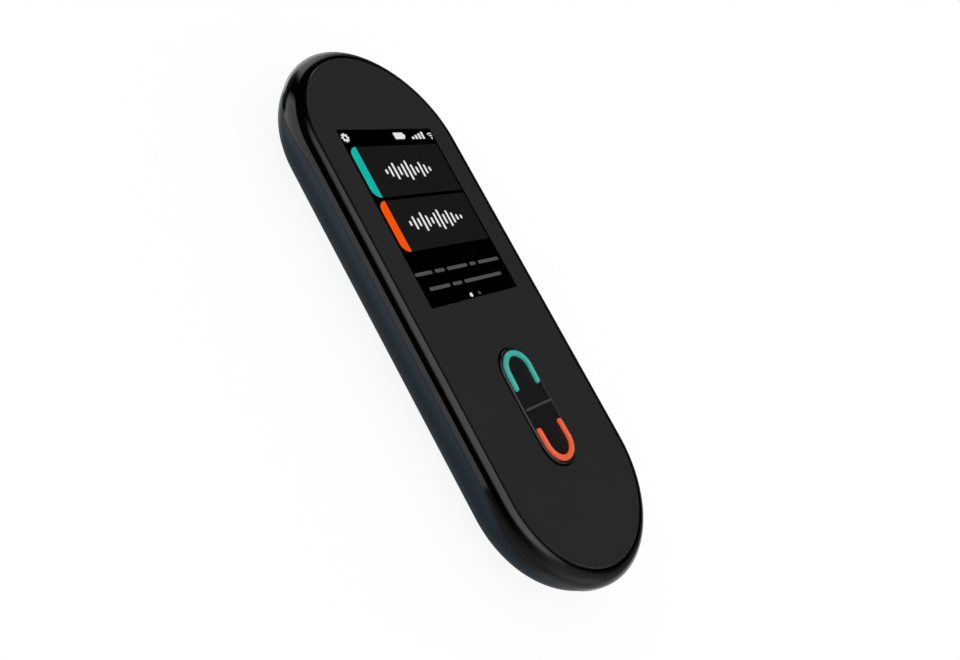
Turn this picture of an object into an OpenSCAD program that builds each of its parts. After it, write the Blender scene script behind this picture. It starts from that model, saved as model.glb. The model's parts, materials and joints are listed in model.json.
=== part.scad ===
// Handheld voice translator: a slim slab with round ends, a display at the
// upper end of its glass front and a two-way rocker key at the lower end.
// Millimetres. It lies on its back: +Z comes out of the glass, +Y runs towards
// the display end, and the origin is the middle of the flat back.

/* [Body] */
// Width of the body
body_w = 49; // [47:0.5:52]
// Length of the body
body_l = 129; // [127:0.5:140]
// Thickness from the flat back to the top of the glass
body_t = 12.8; // [12.6:0.1:13.4]
// Radius of the front edge, from the glass to the side
front_r = 3.2; // [2.8:0.1:3.4]
// Radius of the back edge
back_r = 9; // [8.6:0.1:9.2]
// Wall of the back shell
shell_wall = 1.5; // [1.3:0.1:1.6]

/* [Parting line] */
// Depth of the parting line below the glass along the sides
part_side = 2.45; // [2.2:0.05:2.8]
// Depth of the parting line below the glass round both ends
part_end = 4.5; // [4:0.1:4.5]
// Distance from the middle at which the line starts to drop
part_turn_start = 31; // [28:1:34]
// Distance from the middle at which the line has dropped
part_turn_end = 56; // [50:1:58]
// Open groove between the frame and the shell
part_gap = 0.25; // [0.15:0.05:0.3]
// How far the shell's side lies inside the frame's
shell_step = 0.3; // [0.2:0.05:0.35]

/* [Cover glass] */
// Thickness of the cover glass
glass_t = 0.8; // [0.7:0.05:0.9]
// Gap between the glass and the frame
glass_gap = 0.5; // [0.3:0.05:0.6]
// Chamfer round the glass
glass_chamfer = 0.12; // [0.05:0.01:0.2]
// Chamfer round the key opening in the glass
opening_chamfer = 0.18; // [0.05:0.01:0.25]

/* [Display] */
// Width of the lit picture
picture_w = 30.7; // [29:0.1:31]
// Length of the lit picture
picture_l = 42.4; // [41:0.1:43]
// Middle of the lit picture, from the middle of the body
picture_y = 21.3; // [21:0.1:22]
// Thickness of the display panel
panel_t = 1; // [0.9:0.05:1.1]

/* [Rocker key] */
// Width of the rocker key
key_w = 10.4; // [10:0.1:10.8]
// Length of the rocker key
key_l = 26.8; // [26:0.1:27.2]
// Middle of the key, from the middle of the body
key_y = -26; // [-26.5:0.1:-25.5]
// Gap between the key and the glass
key_gap = 0.4; // [0.35:0.05:0.5]
// Height of the two ends of the key above the glass
key_end_rise = 0.55; // [0.5:0.05:0.8]
// Height of the middle of the key above the glass
key_mid_rise = 0.2; // [0.15:0.05:0.3]
// Tilt of the key each way, in degrees
key_tilt = 1.5; // [1:0.1:1.5]
// Radius of the key's hinge pin
key_pin_r = 0.6; // [0.5:0.05:0.6]
// Running clearance of the key on its pin
pin_clearance = 0.03; // [0.02:0.01:0.06]

/* [Light guides] */
// Radius of the rounded light band
band_r = 0.75; // [0.7:0.05:0.85]
// Radius of the middle line of the band's bow
bow_r = 3.95; // [3.8:0.05:3.95]
// Distance from the key's middle to the far edge of the bow
bow_reach = 12.8; // [12.5:0.1:12.9]
// Distance from the key's middle to the ends of the band's legs
leg_end = 4.3; // [4:0.1:4.6]

/* [Side keys] */
// Middle of the power key, from the middle of the body
power_y = 32; // [31:0.5:34]
// Length of the power key
power_l = 9; // [8:0.5:9.5]
// Middle of the volume key, from the middle of the body
volume_y = 11; // [10.5:0.5:12]
// Length of the volume key
volume_l = 18; // [17:0.5:18.5]
// Height of both side keys
side_key_h = 2.4; // [2.2:0.1:2.6]
// Height of the middle of the side keys above the back
side_key_z = 7.6; // [7.4:0.1:7.7]
// How far the side keys reach from the middle of the body
side_key_x = 24.7; // [24.6:0.05:25]
// Travel of the power key
power_travel = 0.3; // [0.2:0.05:0.3]

/* [Battery] */
// Width of the battery
battery_w = 33; // [31:0.5:33]
// Length of the battery
battery_l = 54; // [50:1:54]
// Thickness of the battery
battery_t = 5; // [4.5:0.1:5]

/* [Hidden] */
$fn = 128;

// Body outline
half_w = body_w / 2;
half_s = body_l / 2 - half_w;          // half of the straight length
back_x = half_w - back_r;              // middle of the back edge's round
shell_half = half_w - shell_step;      // half width of the back shell
glass_half = half_w - front_r;         // half width of the glass
recess_half = glass_half + glass_gap;
inner_half = half_w - shell_wall;
far = 100;                             // longer than any half of the body
eps = 0.01;

// Heights above the back
glass_z = body_t - glass_t;            // underside of the glass
tape_t = 0.15;
ledge_top = glass_z - tape_t;
ledge_t = 1;
chassis_top = ledge_top - ledge_t;
chassis_t = 1;
chassis_z = chassis_top - chassis_t;
lug_t = 1;
lug_z = chassis_z - lug_t;             // underside of the frame's screw lugs
ledge_half = 19.4;
tongue_half = inner_half - 0.25;
tongue_inner = tongue_half - 1.35;
tongue_z = 7.6;
panel_z = glass_z - panel_t;
backlight_t = 1.1;
backlight_z = panel_z - backlight_t;
tray_t = 0.2;
tray_z = backlight_z - tray_t;
board_z = 7.6;                         // underside of the main and key boards
board_t = 0.8;
board_top = board_z + board_t;
port_z = 6;                            // middle of the charging port

// Parting line: two equal arcs make each drop
part_z = body_t - part_side;
part_low_z = body_t - part_end;
part_drop = part_z - part_low_z;
part_run = part_turn_end - part_turn_start;
part_arc_r = (pow(part_run / 2, 2) + pow(part_drop / 2, 2)) / part_drop;

// Display module
panel_half_w = picture_w / 2 + 2.2;
panel_top_y = picture_y + picture_l / 2 + 1.8;
panel_low_y = picture_y - picture_l / 2 - 5;

// Rocker key
key_r = key_w / 2;
key_s = key_l / 2 - key_r;
opening_r = key_r + key_gap;
key_dish = key_end_rise - key_mid_rise;
key_dish_r = (pow(key_l / 2, 2) + pow(key_dish, 2)) / (2 * key_dish);
key_mid_z = body_t + key_mid_rise;
key_flange_top = glass_z - 0.6;
key_flange_t = 0.8;
key_flange_z = key_flange_top - key_flange_t;
key_flange_r = key_r + 1;
key_foot_y = 8.5;                      // feet that press the domes
key_foot_r = 1.4;
dome_h = 0.35;
dome_r = 2.1;
key_foot_gap = key_foot_y * sin(key_tilt) + 0.08;
key_foot_z = board_top + dome_h + key_foot_gap;
key_pin_z = key_flange_z - 0.7;
key_pin_half = 8.7;
ear_x = 3.8;                           // middle of the hinge ears
ear_t = 1.6;
ear_r = 1;
cheek_x = 7.9;                         // middle of the chassis cheeks
cheek_t = 2;

// Light bands lie on the slope of the dished top
band_mid = (bow_reach + leg_end) / 2;
band_slope = asin(band_mid / key_dish_r);
band_top_z = key_mid_z + key_dish_r - sqrt(pow(key_dish_r, 2) - pow(band_mid, 2));
band_sink = 0.05;                      // how deep the band's middle line lies
groove_gap = 0.05;
web_half = 0.35;                       // web that brings the light up to the band
web_depth = 2.1;
rib_half = 4.7;                        // half length of the divider rib

// Screws
screw_r = 0.6;
screw_hole_r = 0.75;
pilot_r = 0.62;
screw_head_r = 1.3;
screw_head_h = 0.6;
housing_screw_l = 6;
boss_r = 1.9;
boss_top = lug_z - 0.1;
housing_screw_spots = [
    [-12.5, -53], [12.5, -53], [-19, -9], [19, -9], [-12.5, 53], [12.5, 53]
];
board_screw_l = 3;
board_post_r = 1.7;
main_post_spots = [[-15.2, 13], [15.2, 13], [-15.2, 40], [15.2, 40]];
usb_board_z = port_z - 1.6 - board_t;
usb_post_spots = [[-5.5, -49.5], [5.5, -49.5]];
key_post_spots = [for (x = [-7, 7], y = [-11.5, 11.5]) [x, key_y + y]];
key_board_w = 17;
key_board_l = 27;

// Charging port
port_half = 4.47;
port_r = 1.6;
port_wall = 0.25;
port_depth = 7.35;
port_face_y = -(half_s + 22.5);
port_clear = 0.18;

// Microphones
mic_r = 2;
mic_t = 1.5;
boot_t = 2;
mic_hole_r = 0.6;
lower_mic_x = 10;
lower_boot_y = -(half_s + 19.3);
upper_boot_y = half_s + 22.2;

// Side keys
side_wall_x = inner_half - 1.2;        // outer face of the keys' flanges
side_flange_t = 0.6;
side_flange_h = 3.2;
side_nub_t = 0.4;
side_nub_r = 0.8;
side_gap = 0.2;
side_dome_h = 0.35;
side_flex_t = 0.3;
side_nub_x = side_wall_x - side_flange_t - side_nub_t;
side_dome_x = side_nub_x - power_travel - 0.05;
side_flex_x = side_dome_x - side_dome_h;
side_bracket_x = side_flex_x - side_flex_t;
side_bracket_t = 0.5;
volume_nub_y = 5.6;
volume_pin_r = 0.4;
volume_pin_x = side_wall_x - side_flange_t - 0.35;
volume_boss_r = 0.75;
volume_boss_h = 2;
volume_lug_t = 0.5;
volume_lug_gap = 0.25;

// Speaker
speaker_y = 45;
speaker_w = 20;
speaker_l = 14;
speaker_z = shell_wall + 0.5;
speaker_top = 5.6;
speaker_mouth_w = 17;
speaker_mouth_l = 11;
grille_hole_r = 0.65;
grille_pitch = 2.2;
grille_columns = 7;
grille_rows = 3;

// Battery
battery_z = shell_wall + 0.3;
battery_top = battery_z + battery_t;
battery_far_y = 8.5;
battery_mid_y = battery_far_y - battery_l / 2;

// Colours
gloss_black = "#0b0b0c";
shell_blue = "#27313b";
glass_black = "#262626";
key_black = "#1a1a1b";
teal = "#40b4a8";
orange = "#f05f3c";
steel = "#b9bcc0";
board_green = "#1d5c3a";
flex_amber = "#b5752a";
chip_black = "#202124";
rubber_black = "#2b2b2c";

// Shapes

// A slot outline: a rectangle with round ends along Y
module slot_outline(r, s) {
    square([2 * r, 2 * s], center = true);
    for (end = [-1, 1]) translate([0, end * s]) circle(r);
}

// An upright slot-shaped plate
module slot_plate(r, s, z0, z1) {
    translate([0, 0, z0]) linear_extrude(z1 - z0) slot_outline(r, s);
}

// Carries a profile, X across and Y up, once round a slot outline
module slot_sweep(s) {
    for (end = [0, 180]) rotate([0, 0, end]) translate([0, s, 0])
        rotate_extrude(angle = 180) children();
    for (side = [0, 1]) mirror([side, 0, 0])
        rotate([90, 0, 0]) linear_extrude(2 * s, center = true) children();
}

// A box from its two corners
module block(low, high) {
    translate(low) cube(high - low);
}

// A rod along X, Y or Z, given by its middle
module rod_x(r, length, at) {
    translate(at) rotate([0, 90, 0]) cylinder(r = r, h = length, center = true);
}

module rod_y(r, length, at) {
    translate(at) rotate([90, 0, 0]) cylinder(r = r, h = length, center = true);
}

module rod_z(r, z0, z1, at) {
    translate([at[0], at[1], z0]) cylinder(r = r, h = z1 - z0);
}

// The outline of the port, extruded along Y from y0 to y1
module port_slot(r, half, y0, y1) {
    translate([0, y1, port_z]) rotate([90, 90, 0])
        linear_extrude(y1 - y0) slot_outline(r, half - r);
}

// A side key's outline, extruded along X from x0 to x1
module side_slot(h, length, y, x0, x1) {
    translate([x0, y, side_key_z]) rotate([90, 0, 90]) linear_extrude(x1 - x0)
        rotate(90) slot_outline(h / 2, length / 2 - h / 2);
}

// The frame's half section below and up to the glass, with its round front edge
module frame_section() {
    square([half_w, body_t - front_r]);
    intersection() {
        translate([glass_half, body_t - front_r]) circle(front_r);
        translate([glass_half - 1, body_t - front_r]) square([front_r + 1, front_r]);
    }
    translate([0, body_t - front_r]) square([glass_half, front_r]);
}

// The shell's half section: flat back, round back edge, upright side
module shell_section() {
    square([back_x - shell_step, body_t]);
    intersection() {
        translate([back_x - shell_step, back_r]) circle(back_r);
        translate([back_x - shell_step - 1, 0]) square([back_r + 1, back_r]);
    }
    translate([0, back_r]) square([shell_half, body_t - back_r]);
}

// The half section of the room inside the shell, open at the front
module room_section() {
    translate([0, shell_wall]) square([back_x, body_t]);
    translate([back_x, back_r]) circle(back_r - shell_wall);
    translate([0, back_r]) square([inner_half, body_t]);
}

// Everything below the parting line, lowered by drop, seen along X
module below_parting(drop) {
    rotate([90, 0, 90]) linear_extrude(2 * half_w + 2, center = true) translate([0, -drop]) {
        translate([-far, -far]) square([2 * far, far + part_low_z]);
        for (side = [0, 1]) mirror([side, 0]) {
            translate([-eps, part_low_z - eps]) square([part_turn_start + eps, part_drop + eps]);
            intersection() {
                translate([part_turn_start - eps, part_low_z - eps])
                    square([part_run / 2 + eps, part_drop + 2 * eps]);
                translate([part_turn_start, part_z - part_arc_r]) circle(part_arc_r, $fn = 360);
            }
            difference() {
                translate([part_turn_start + part_run / 2 - eps, part_low_z - eps])
                    square([part_run / 2 + eps, part_drop / 2 + eps]);
                translate([part_turn_end, part_low_z + part_arc_r]) circle(part_arc_r, $fn = 360);
            }
        }
    }
}

// Housing

module front_frame() {
    color(gloss_black) difference() {
        union() {
            difference() {
                slot_sweep(half_s) difference() {
                    frame_section();
                    translate([-far, -far]) square([far + tongue_inner, 2 * far]);
                    translate([-far, ledge_top]) square([far + recess_half, far]);
                }
                below_parting(0);
            }
            slot_sweep(half_s) translate([tongue_inner, tongue_z])
                square([tongue_half - tongue_inner, ledge_top - tongue_z]);
            slot_sweep(half_s) translate([ledge_half, chassis_top])
                square([tongue_inner - ledge_half + eps, ledge_t]);
            intersection() {
                for (spot = housing_screw_spots) rod_z(2.6, lug_z, chassis_z, spot);
                slot_plate(tongue_inner + eps, half_s, lug_z - 1, chassis_z + 1);
            }
            for (spot = housing_screw_spots) lug_web(spot);
        }
        for (spot = housing_screw_spots) {
            rod_z(screw_hole_r, lug_z - 1, chassis_top, spot);
            rod_z(screw_head_r + 0.25, chassis_top, ledge_top + 1, spot);
        }
        port_slot(port_r + 0.5, port_half + 0.5, -half_w - half_s, port_face_y + port_depth);
        block([lower_mic_x - 2.4, lower_boot_y - 3, tongue_z - 1],
              [lower_mic_x + 2.4, lower_boot_y + 3, port_z + mic_r + 0.2]);
        block([-2.4, upper_boot_y - 3, tongue_z - 1], [2.4, upper_boot_y + 3, port_z + mic_r + 0.2]);
        block([tongue_inner - 1, volume_y - volume_l / 2 - 1.6, tongue_z - 1],
              [tongue_half + 0.1, power_y + power_l / 2 + 1.6, chassis_z - 0.2]);
    }
}

// Joins a screw lug to the frame's tongue
module lug_web(spot) {
    end_y = abs(spot[1]) > half_s ? sign(spot[1]) * half_s : spot[1];
    turn = atan2(spot[1] - end_y, spot[0]);
    reach = norm([spot[0], spot[1] - end_y]);
    translate([0, end_y, lug_z]) rotate(turn) translate([reach, -1.5, 0])
        cube([tongue_inner + 0.6 - reach, 3, lug_t]);
}

module back_shell() {
    color(shell_blue) difference() {
        union() {
            difference() {
                intersection() {
                    slot_sweep(half_s) shell_section();
                    below_parting(part_gap);
                }
                slot_sweep(half_s) room_section();
            }
            intersection() {
                slot_sweep(half_s) shell_section();
                union() {
                    for (spot = housing_screw_spots) rod_z(boss_r, eps, boss_top, spot);
                    for (spot = main_post_spots) rod_z(board_post_r, eps, board_z, spot);
                    for (spot = usb_post_spots) rod_z(board_post_r, eps, usb_board_z, spot);
                }
            }
        }
        for (spot = housing_screw_spots) rod_z(pilot_r, shell_wall + 1, boss_top + 1, spot);
        for (spot = main_post_spots) rod_z(pilot_r, shell_wall + 1, board_z + 1, spot);
        for (spot = usb_post_spots) rod_z(pilot_r, shell_wall, usb_board_z + 1, spot);
        port_slot(port_r + port_clear, port_half + port_clear, -half_s - half_w - 1, -half_s - 21);
        rod_y(mic_hole_r, 8, [lower_mic_x, lower_boot_y - 2, port_z]);
        rod_y(mic_hole_r, 6, [0, upper_boot_y + 2, port_z]);
        side_slot(side_key_h + 2 * side_gap, power_l + 2 * side_gap, power_y, inner_half - 2, far);
        side_slot(side_key_h + 2 * side_gap, volume_l + 2 * side_gap, volume_y, inner_half - 2, far);
        for (i = [0 : grille_columns - 1], j = [0 : grille_rows - 1])
            rod_z(grille_hole_r, -1, shell_wall + 1, [
                (i - (grille_columns - 1) / 2) * grille_pitch,
                speaker_y + (j - (grille_rows - 1) / 2) * grille_pitch
            ]);
    }
}

module glass_tape() {
    color(rubber_black) slot_sweep(half_s) translate([ledge_half, ledge_top])
        square([glass_half - 0.1 - ledge_half, tape_t]);
}

module cover_glass() {
    c = glass_chamfer;
    o = opening_chamfer;
    color(glass_black) difference() {
        slot_sweep(half_s) polygon([
            [0, glass_z], [glass_half, glass_z], [glass_half, body_t - c], [glass_half - c, body_t],
            [0, body_t]
        ]);
        translate([0, key_y, 0]) {
            slot_plate(opening_r, key_s, glass_z - 1, body_t + 1);
            slot_sweep(key_s) polygon([
                [0, body_t - o], [opening_r, body_t - o], [opening_r + o, body_t],
                [opening_r + o, body_t + 1], [0, body_t + 1]
            ]);
        }
    }
}

// Display

module display_panel() {
    color("#050506") block([-panel_half_w, panel_low_y, panel_z], [panel_half_w, panel_top_y, glass_z]);
}

module backlight() {
    color("#e8ecee") block([-panel_half_w + 0.3, panel_low_y + 2, backlight_z],
                           [panel_half_w - 0.3, panel_top_y - 0.3, panel_z]);
}

module display_tray() {
    color(steel) difference() {
        block([-panel_half_w - 0.25, panel_low_y + 1.5, tray_z],
              [panel_half_w + 0.25, panel_top_y + 0.25, panel_z - 0.05]);
        block([-panel_half_w + 0.28, panel_low_y + 1.98, backlight_z],
              [panel_half_w - 0.28, panel_top_y - 0.28, panel_z + 1]);
    }
}

// The flat cable folds under the tray and plugs into the main board
module display_flex() {
    thick = 0.12;
    low = board_top + 0.9;
    color(flex_amber) union() {
        block([-7, panel_low_y - 0.5, low], [7, panel_low_y - 0.5 + thick, panel_z + 0.3]);
        block([-7, panel_low_y - 0.5, panel_z + 0.3], [7, panel_low_y, panel_z + 0.3 + thick]);
        block([-7, panel_low_y - 0.5, low], [7, 17, low + thick]);
    }
}

module display_socket() {
    color("#d8d2c4") block([-8, 13.8, board_top], [8, 17, board_top + 0.9]);
}

// Rocker key

// The bow of one light band: a rod of radius r, and a web under it that is
// 2 * half thick and reaches depth below the rod's middle line
module light_bow(r, half, depth) {
    bow_y = bow_reach - bow_r - band_r - band_mid;
    leg = bow_y + band_mid - leg_end - band_r;
    translate([0, bow_y, 0]) {
        rotate_extrude(angle = 180) {
            translate([bow_r, 0]) circle(r, $fn = 64);
            translate([bow_r - half, -depth]) square([2 * half, depth]);
        }
        for (side = [-1, 1]) translate([side * bow_r, 0, 0]) {
            rotate([90, 0, 0]) cylinder(r = r, h = leg, $fn = 64);
            translate([0, -leg, 0]) sphere(r, $fn = 64);
            block([-half, -leg, -depth], [half, 0, 0]);
        }
    }
}

// Places a bow on the sloping top: side 0 is the display end, 1 the lower end
module on_slope(side) {
    translate([0, key_y, 0]) rotate([0, 0, side * 180])
        translate([0, band_mid, band_top_z - band_sink]) rotate([band_slope, 0, 0]) children();
}

module rocker_key() {
    color(key_black) difference() {
        union() {
            translate([0, key_y, 0]) {
                difference() {
                    slot_plate(key_r, key_s, key_flange_z, body_t + key_end_rise);
                    rod_x(key_dish_r, far, [0, 0, key_mid_z + key_dish_r], $fn = 720);
                }
                slot_plate(key_flange_r, key_s, key_flange_z, key_flange_top);
                for (side = [-1, 1]) {
                    rod_z(key_foot_r, key_foot_z, key_flange_z + eps, [0, side * key_foot_y]);
                    rod_x(ear_r, ear_t, [side * ear_x, 0, key_pin_z]);
                    block([side * ear_x - ear_t / 2, -ear_r, key_pin_z],
                          [side * ear_x + ear_t / 2, ear_r, key_flange_z + eps]);
                }
            }
        }
        rod_x(key_pin_r + pin_clearance, 2 * key_pin_half, [0, key_y, key_pin_z]);
        for (side = [0, 1]) on_slope(side)
            light_bow(band_r + groove_gap, web_half + groove_gap, key_end_rise + body_t - key_flange_z);
        translate([0, key_y, key_mid_z]) block([-rib_half - 0.02, -0.32, -0.4], [rib_half + 0.02, 0.32, 1]);
    }
}

// The raised bar that tells a thumb where one half of the key ends
module divider_rib() {
    color("#4a4a4c") translate([0, key_y, key_mid_z]) intersection() {
        union() {
            block([-key_r, -0.3, -0.4], [key_r, 0.3, 0.12]);
            rod_x(0.3, 2 * key_r, [0, 0, 0.12]);
        }
        block([-rib_half, -1, -1], [rib_half, 1, 1]);
    }
}

module light_guide(side) {
    on_slope(side) light_bow(band_r, web_half, web_depth);
}

module teal_light_guide() {
    color(teal) light_guide(0);
}

module orange_light_guide() {
    color(orange) light_guide(1);
}

module key_pin() {
    color(steel) rod_x(key_pin_r, 2 * key_pin_half, [0, key_y, key_pin_z]);
}

module key_board() {
    color(board_green) difference() {
        block([-key_board_w / 2, key_y - key_board_l / 2, board_z],
              [key_board_w / 2, key_y + key_board_l / 2, board_top]);
        for (spot = key_post_spots) rod_z(screw_hole_r, 0, board_top + 1, spot);
    }
}

module key_domes() {
    color("#d9c27a") for (side = [-1, 1]) translate([0, key_y + side * key_foot_y, 0]) {
        translate([0, 0, board_top]) cylinder(r1 = dome_r, r2 = dome_r - 0.9, h = dome_h);
    }
}

module led(side) {
    middle = key_y + side * (bow_reach - band_r);
    block([-0.8, middle - 0.6, board_top], [0.8, middle + 0.6, board_top + 0.55]);
}

module teal_led() {
    color("#bfeee8") led(1);
}

module orange_led() {
    color("#ffd9c8") led(-1);
}

module key_flex() {
    color(flex_amber) block([-4, key_y + 9, board_z - 0.15], [4, 13, board_z]);
}

// Chassis and boards

module chassis() {
    color("#8d9196") difference() {
        union() {
            difference() {
                slot_plate(tongue_inner - 0.3, half_s, chassis_z, chassis_top);
                block([-panel_half_w - 0.6, panel_low_y - 1.2, chassis_z - 1],
                      [panel_half_w + 0.6, panel_top_y + 0.6, chassis_top + 1]);
                translate([0, key_y, 0])
                    slot_plate(key_flange_r + 0.5, key_s, chassis_z - 1, chassis_top + 1);
            }
            for (side = [-1, 1])
                block([side * cheek_x - cheek_t / 2, key_y - 1.6, key_pin_z - 1.1],
                      [side * cheek_x + cheek_t / 2, key_y + 1.6, key_pin_z + 1.1]);
            for (spot = key_post_spots) rod_z(1.3, board_top, chassis_z + eps, spot);
        }
        rod_x(key_pin_r + eps, 2 * key_pin_half + 2, [0, key_y, key_pin_z]);
        for (spot = housing_screw_spots) rod_z(screw_hole_r, chassis_z - 1, chassis_top + 1, spot);
        for (spot = key_post_spots) rod_z(pilot_r, board_top - 1, chassis_top + 1, spot);
    }
}

module main_board() {
    color(board_green) difference() {
        intersection() {
            slot_plate(20, half_s, board_z, board_top);
            block([-18, 10, board_z - 1], [18, 57, board_top + 1]);
        }
        for (spot = main_post_spots) rod_z(screw_hole_r, board_z - 1, board_top + 1, spot);
        for (spot = housing_screw_spots) rod_z(boss_r + 0.9, board_z - 1, board_top + 1, spot);
    }
}

module processor() {
    color(chip_black) block([-12, 19, board_z - 1], [0, 31, board_z]);
}

module memory_chip() {
    color(chip_black) block([7, 18, board_z - 0.9], [14, 27, board_z]);
}

module power_chip() {
    color(chip_black) block([5, 31.5, board_z - 0.9], [10.5, 36.5, board_z]);
}

// A sheet-metal can that hangs open side up under the main board
module shield_can(low, high) {
    difference() {
        block([low[0], low[1], board_z - 1.5], [high[0], high[1], board_z]);
        block([low[0] + 0.2, low[1] + 0.2, board_z - 1.3], [high[0] - 0.2, high[1] - 0.2, board_z + 1]);
    }
}

module processor_shield() {
    color(steel) shield_can([-13.2, 17.5], [1.5, 35]);
}

module radio_shield() {
    color(steel) shield_can([4.5, 16.5], [16, 29.5]);
}

// Battery

module battery() {
    edge = battery_t / 2;
    x = battery_w / 2 - edge;
    color("#c9ccd1") translate([0, battery_mid_y, battery_z + edge]) {
        block([-x, -battery_l / 2, -edge], [x, battery_l / 2, edge]);
        for (side = [-1, 1]) rod_y(edge, battery_l, [side * x, 0, 0]);
    }
}

module battery_tape() {
    color("#f1f1ea") block([-10, battery_mid_y - 22, shell_wall], [10, battery_mid_y + 22, battery_z]);
}

module battery_lead() {
    color("#b3261e") for (x = [-9, -7.4]) rod_y(0.45, 2.4, [x, battery_far_y + 1.2, 6.2]);
}

module battery_plug() {
    color("#ece6d6") block([-10.8, battery_far_y + 2.4, 5.6], [-5.6, battery_far_y + 5.4, board_z]);
}

// Speaker

module rounded_block(w, l, r, y, z0, z1) {
    translate([0, y, z0]) linear_extrude(z1 - z0) {
        square([w, l - 2 * r], center = true);
        square([w - 2 * r, l], center = true);
        for (x = [-1, 1], v = [-1, 1]) translate([x * (w / 2 - r), v * (l / 2 - r)]) circle(r, $fn = 48);
    }
}

module speaker_frame() {
    color(chip_black) difference() {
        rounded_block(speaker_w, speaker_l, 2, speaker_y, speaker_z, speaker_top);
        rounded_block(speaker_mouth_w, speaker_mouth_l, 3, speaker_y, speaker_z - 1, speaker_z + 1.6);
        rounded_block(speaker_mouth_w - 4, speaker_mouth_l - 4, 1, speaker_y,
                      speaker_z + 1.5, speaker_top - 0.4);
    }
}

module speaker_cone() {
    color("#3a3a3c") union() {
        rounded_block(speaker_mouth_w - 0.1, speaker_mouth_l - 0.1, 2.9, speaker_y,
                      speaker_z + 0.7, speaker_z + 0.9);
        rounded_block(speaker_mouth_w - 6, speaker_mouth_l - 6, 2, speaker_y,
                      speaker_z + 0.4, speaker_z + 0.9);
    }
}

module speaker_magnet() {
    color(steel) rounded_block(speaker_mouth_w - 6, speaker_mouth_l - 6, 0.8, speaker_y,
                               speaker_z + 1.7, speaker_top - 0.4);
}

module speaker_gasket() {
    color(rubber_black) difference() {
        rounded_block(speaker_w, speaker_l, 2, speaker_y, shell_wall, speaker_z);
        rounded_block(speaker_mouth_w, speaker_mouth_l, 3, speaker_y, shell_wall - 1, speaker_z + 1);
    }
}

module speaker_mesh() {
    color("#3c3d40") rounded_block(speaker_mouth_w - 0.2, speaker_mouth_l - 0.2, 2.9, speaker_y, shell_wall,
                                   shell_wall + 0.15);
}

// Charging port

module usb_shell() {
    back_y = port_face_y + port_depth;
    color(steel) difference() {
        port_slot(port_r, port_half, port_face_y, back_y);
        port_slot(port_r - port_wall, port_half - port_wall, port_face_y - 1, back_y - port_wall);
    }
}

module usb_tongue() {
    back_y = port_face_y + port_depth - port_wall;
    color(chip_black) union() {
        port_slot(port_r - port_wall, port_half - port_wall, back_y - 1.4, back_y);
        block([-3.3, port_face_y + 0.8, port_z - 0.35], [3.3, back_y - 1.4 + eps, port_z + 0.35]);
    }
}

module usb_board() {
    color(board_green) difference() {
        intersection() {
            slot_plate(20.2, half_s, usb_board_z, usb_board_z + board_t);
            block([-8, -70, usb_board_z - 1], [8, -47, usb_board_z + board_t + 1]);
        }
        for (spot = usb_post_spots) rod_z(screw_hole_r, usb_board_z - 1, usb_board_z + 2, spot);
    }
}

// The flat cable climbs from the port's board, crosses the battery and meets the main board
module usb_flex() {
    thick = 0.12;
    low = usb_board_z + board_t;
    over = battery_top + 0.25;
    color(flex_amber) union() {
        block([-3, -48.4, low], [3, -46.6, low + thick]);
        block([-3, -46.6 - thick, low], [3, -46.6, over]);
        block([-3, -46.6 - thick, over], [3, 12, over + thick]);
        block([-3, 12 - thick, over], [3, 12, board_z - 0.15]);
    }
}

// Microphones

module lower_microphone() {
    color(steel) rod_y(mic_r - 0.2, mic_t, [lower_mic_x, lower_boot_y + boot_t / 2 + mic_t / 2, port_z]);
}

// A rubber tube from a microphone to the shell's inner face
module mic_boot(x, y) {
    intersection() {
        difference() {
            rod_y(mic_r, boot_t, [x, y, port_z]);
            rod_y(mic_hole_r, boot_t + 2, [x, y, port_z]);
        }
        slot_sweep(half_s) room_section();
    }
}

module lower_mic_boot() {
    color(rubber_black) mic_boot(lower_mic_x, lower_boot_y);
}

module upper_microphone() {
    color(steel) rod_y(mic_r - 0.2, mic_t, [0, upper_boot_y - boot_t / 2 - mic_t / 2, port_z]);
}

module upper_mic_boot() {
    color(rubber_black) mic_boot(0, upper_boot_y);
}

// Side keys

// The flange that keeps a side key in the shell
module side_flange(y, length) {
    block([side_wall_x - side_flange_t, y - length / 2 - 1, side_key_z - side_flange_h / 2],
          [side_wall_x, y + length / 2 + 1, side_key_z + side_flange_h / 2]);
}

module power_key() {
    color(shell_blue) union() {
        side_slot(side_key_h, power_l, power_y, side_wall_x - eps, side_key_x);
        side_flange(power_y, power_l);
        rod_x(side_nub_r, side_nub_t + eps, [side_nub_x + side_nub_t / 2, power_y, side_key_z]);
    }
}

module volume_key() {
    color(shell_blue) difference() {
        union() {
            side_slot(side_key_h, volume_l, volume_y, side_wall_x - eps, side_key_x);
            side_flange(volume_y, volume_l);
            for (side = [-1, 1])
                rod_x(side_nub_r, side_nub_t + eps,
                      [side_nub_x + side_nub_t / 2, volume_y + side * volume_nub_y, side_key_z]);
            rod_z(volume_boss_r, side_key_z - volume_boss_h / 2, side_key_z + volume_boss_h / 2,
                  [volume_pin_x, volume_y]);
        }
        rod_z(volume_pin_r + pin_clearance, 0, far, [volume_pin_x, volume_y]);
        for (side = [0, 1]) translate([0, 0, side_key_z]) mirror([0, 0, side])
            block([side_wall_x - side_flange_t - 1, volume_y - 1.8, volume_boss_h / 2 + 0.1],
                  [side_wall_x, volume_y + 1.8, side_flange_h]);
    }
}

module volume_pin() {
    reach = volume_boss_h / 2 + volume_lug_gap + volume_lug_t;
    color(steel) rod_z(volume_pin_r, side_key_z - reach, side_key_z + reach, [volume_pin_x, volume_y]);
}

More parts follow.
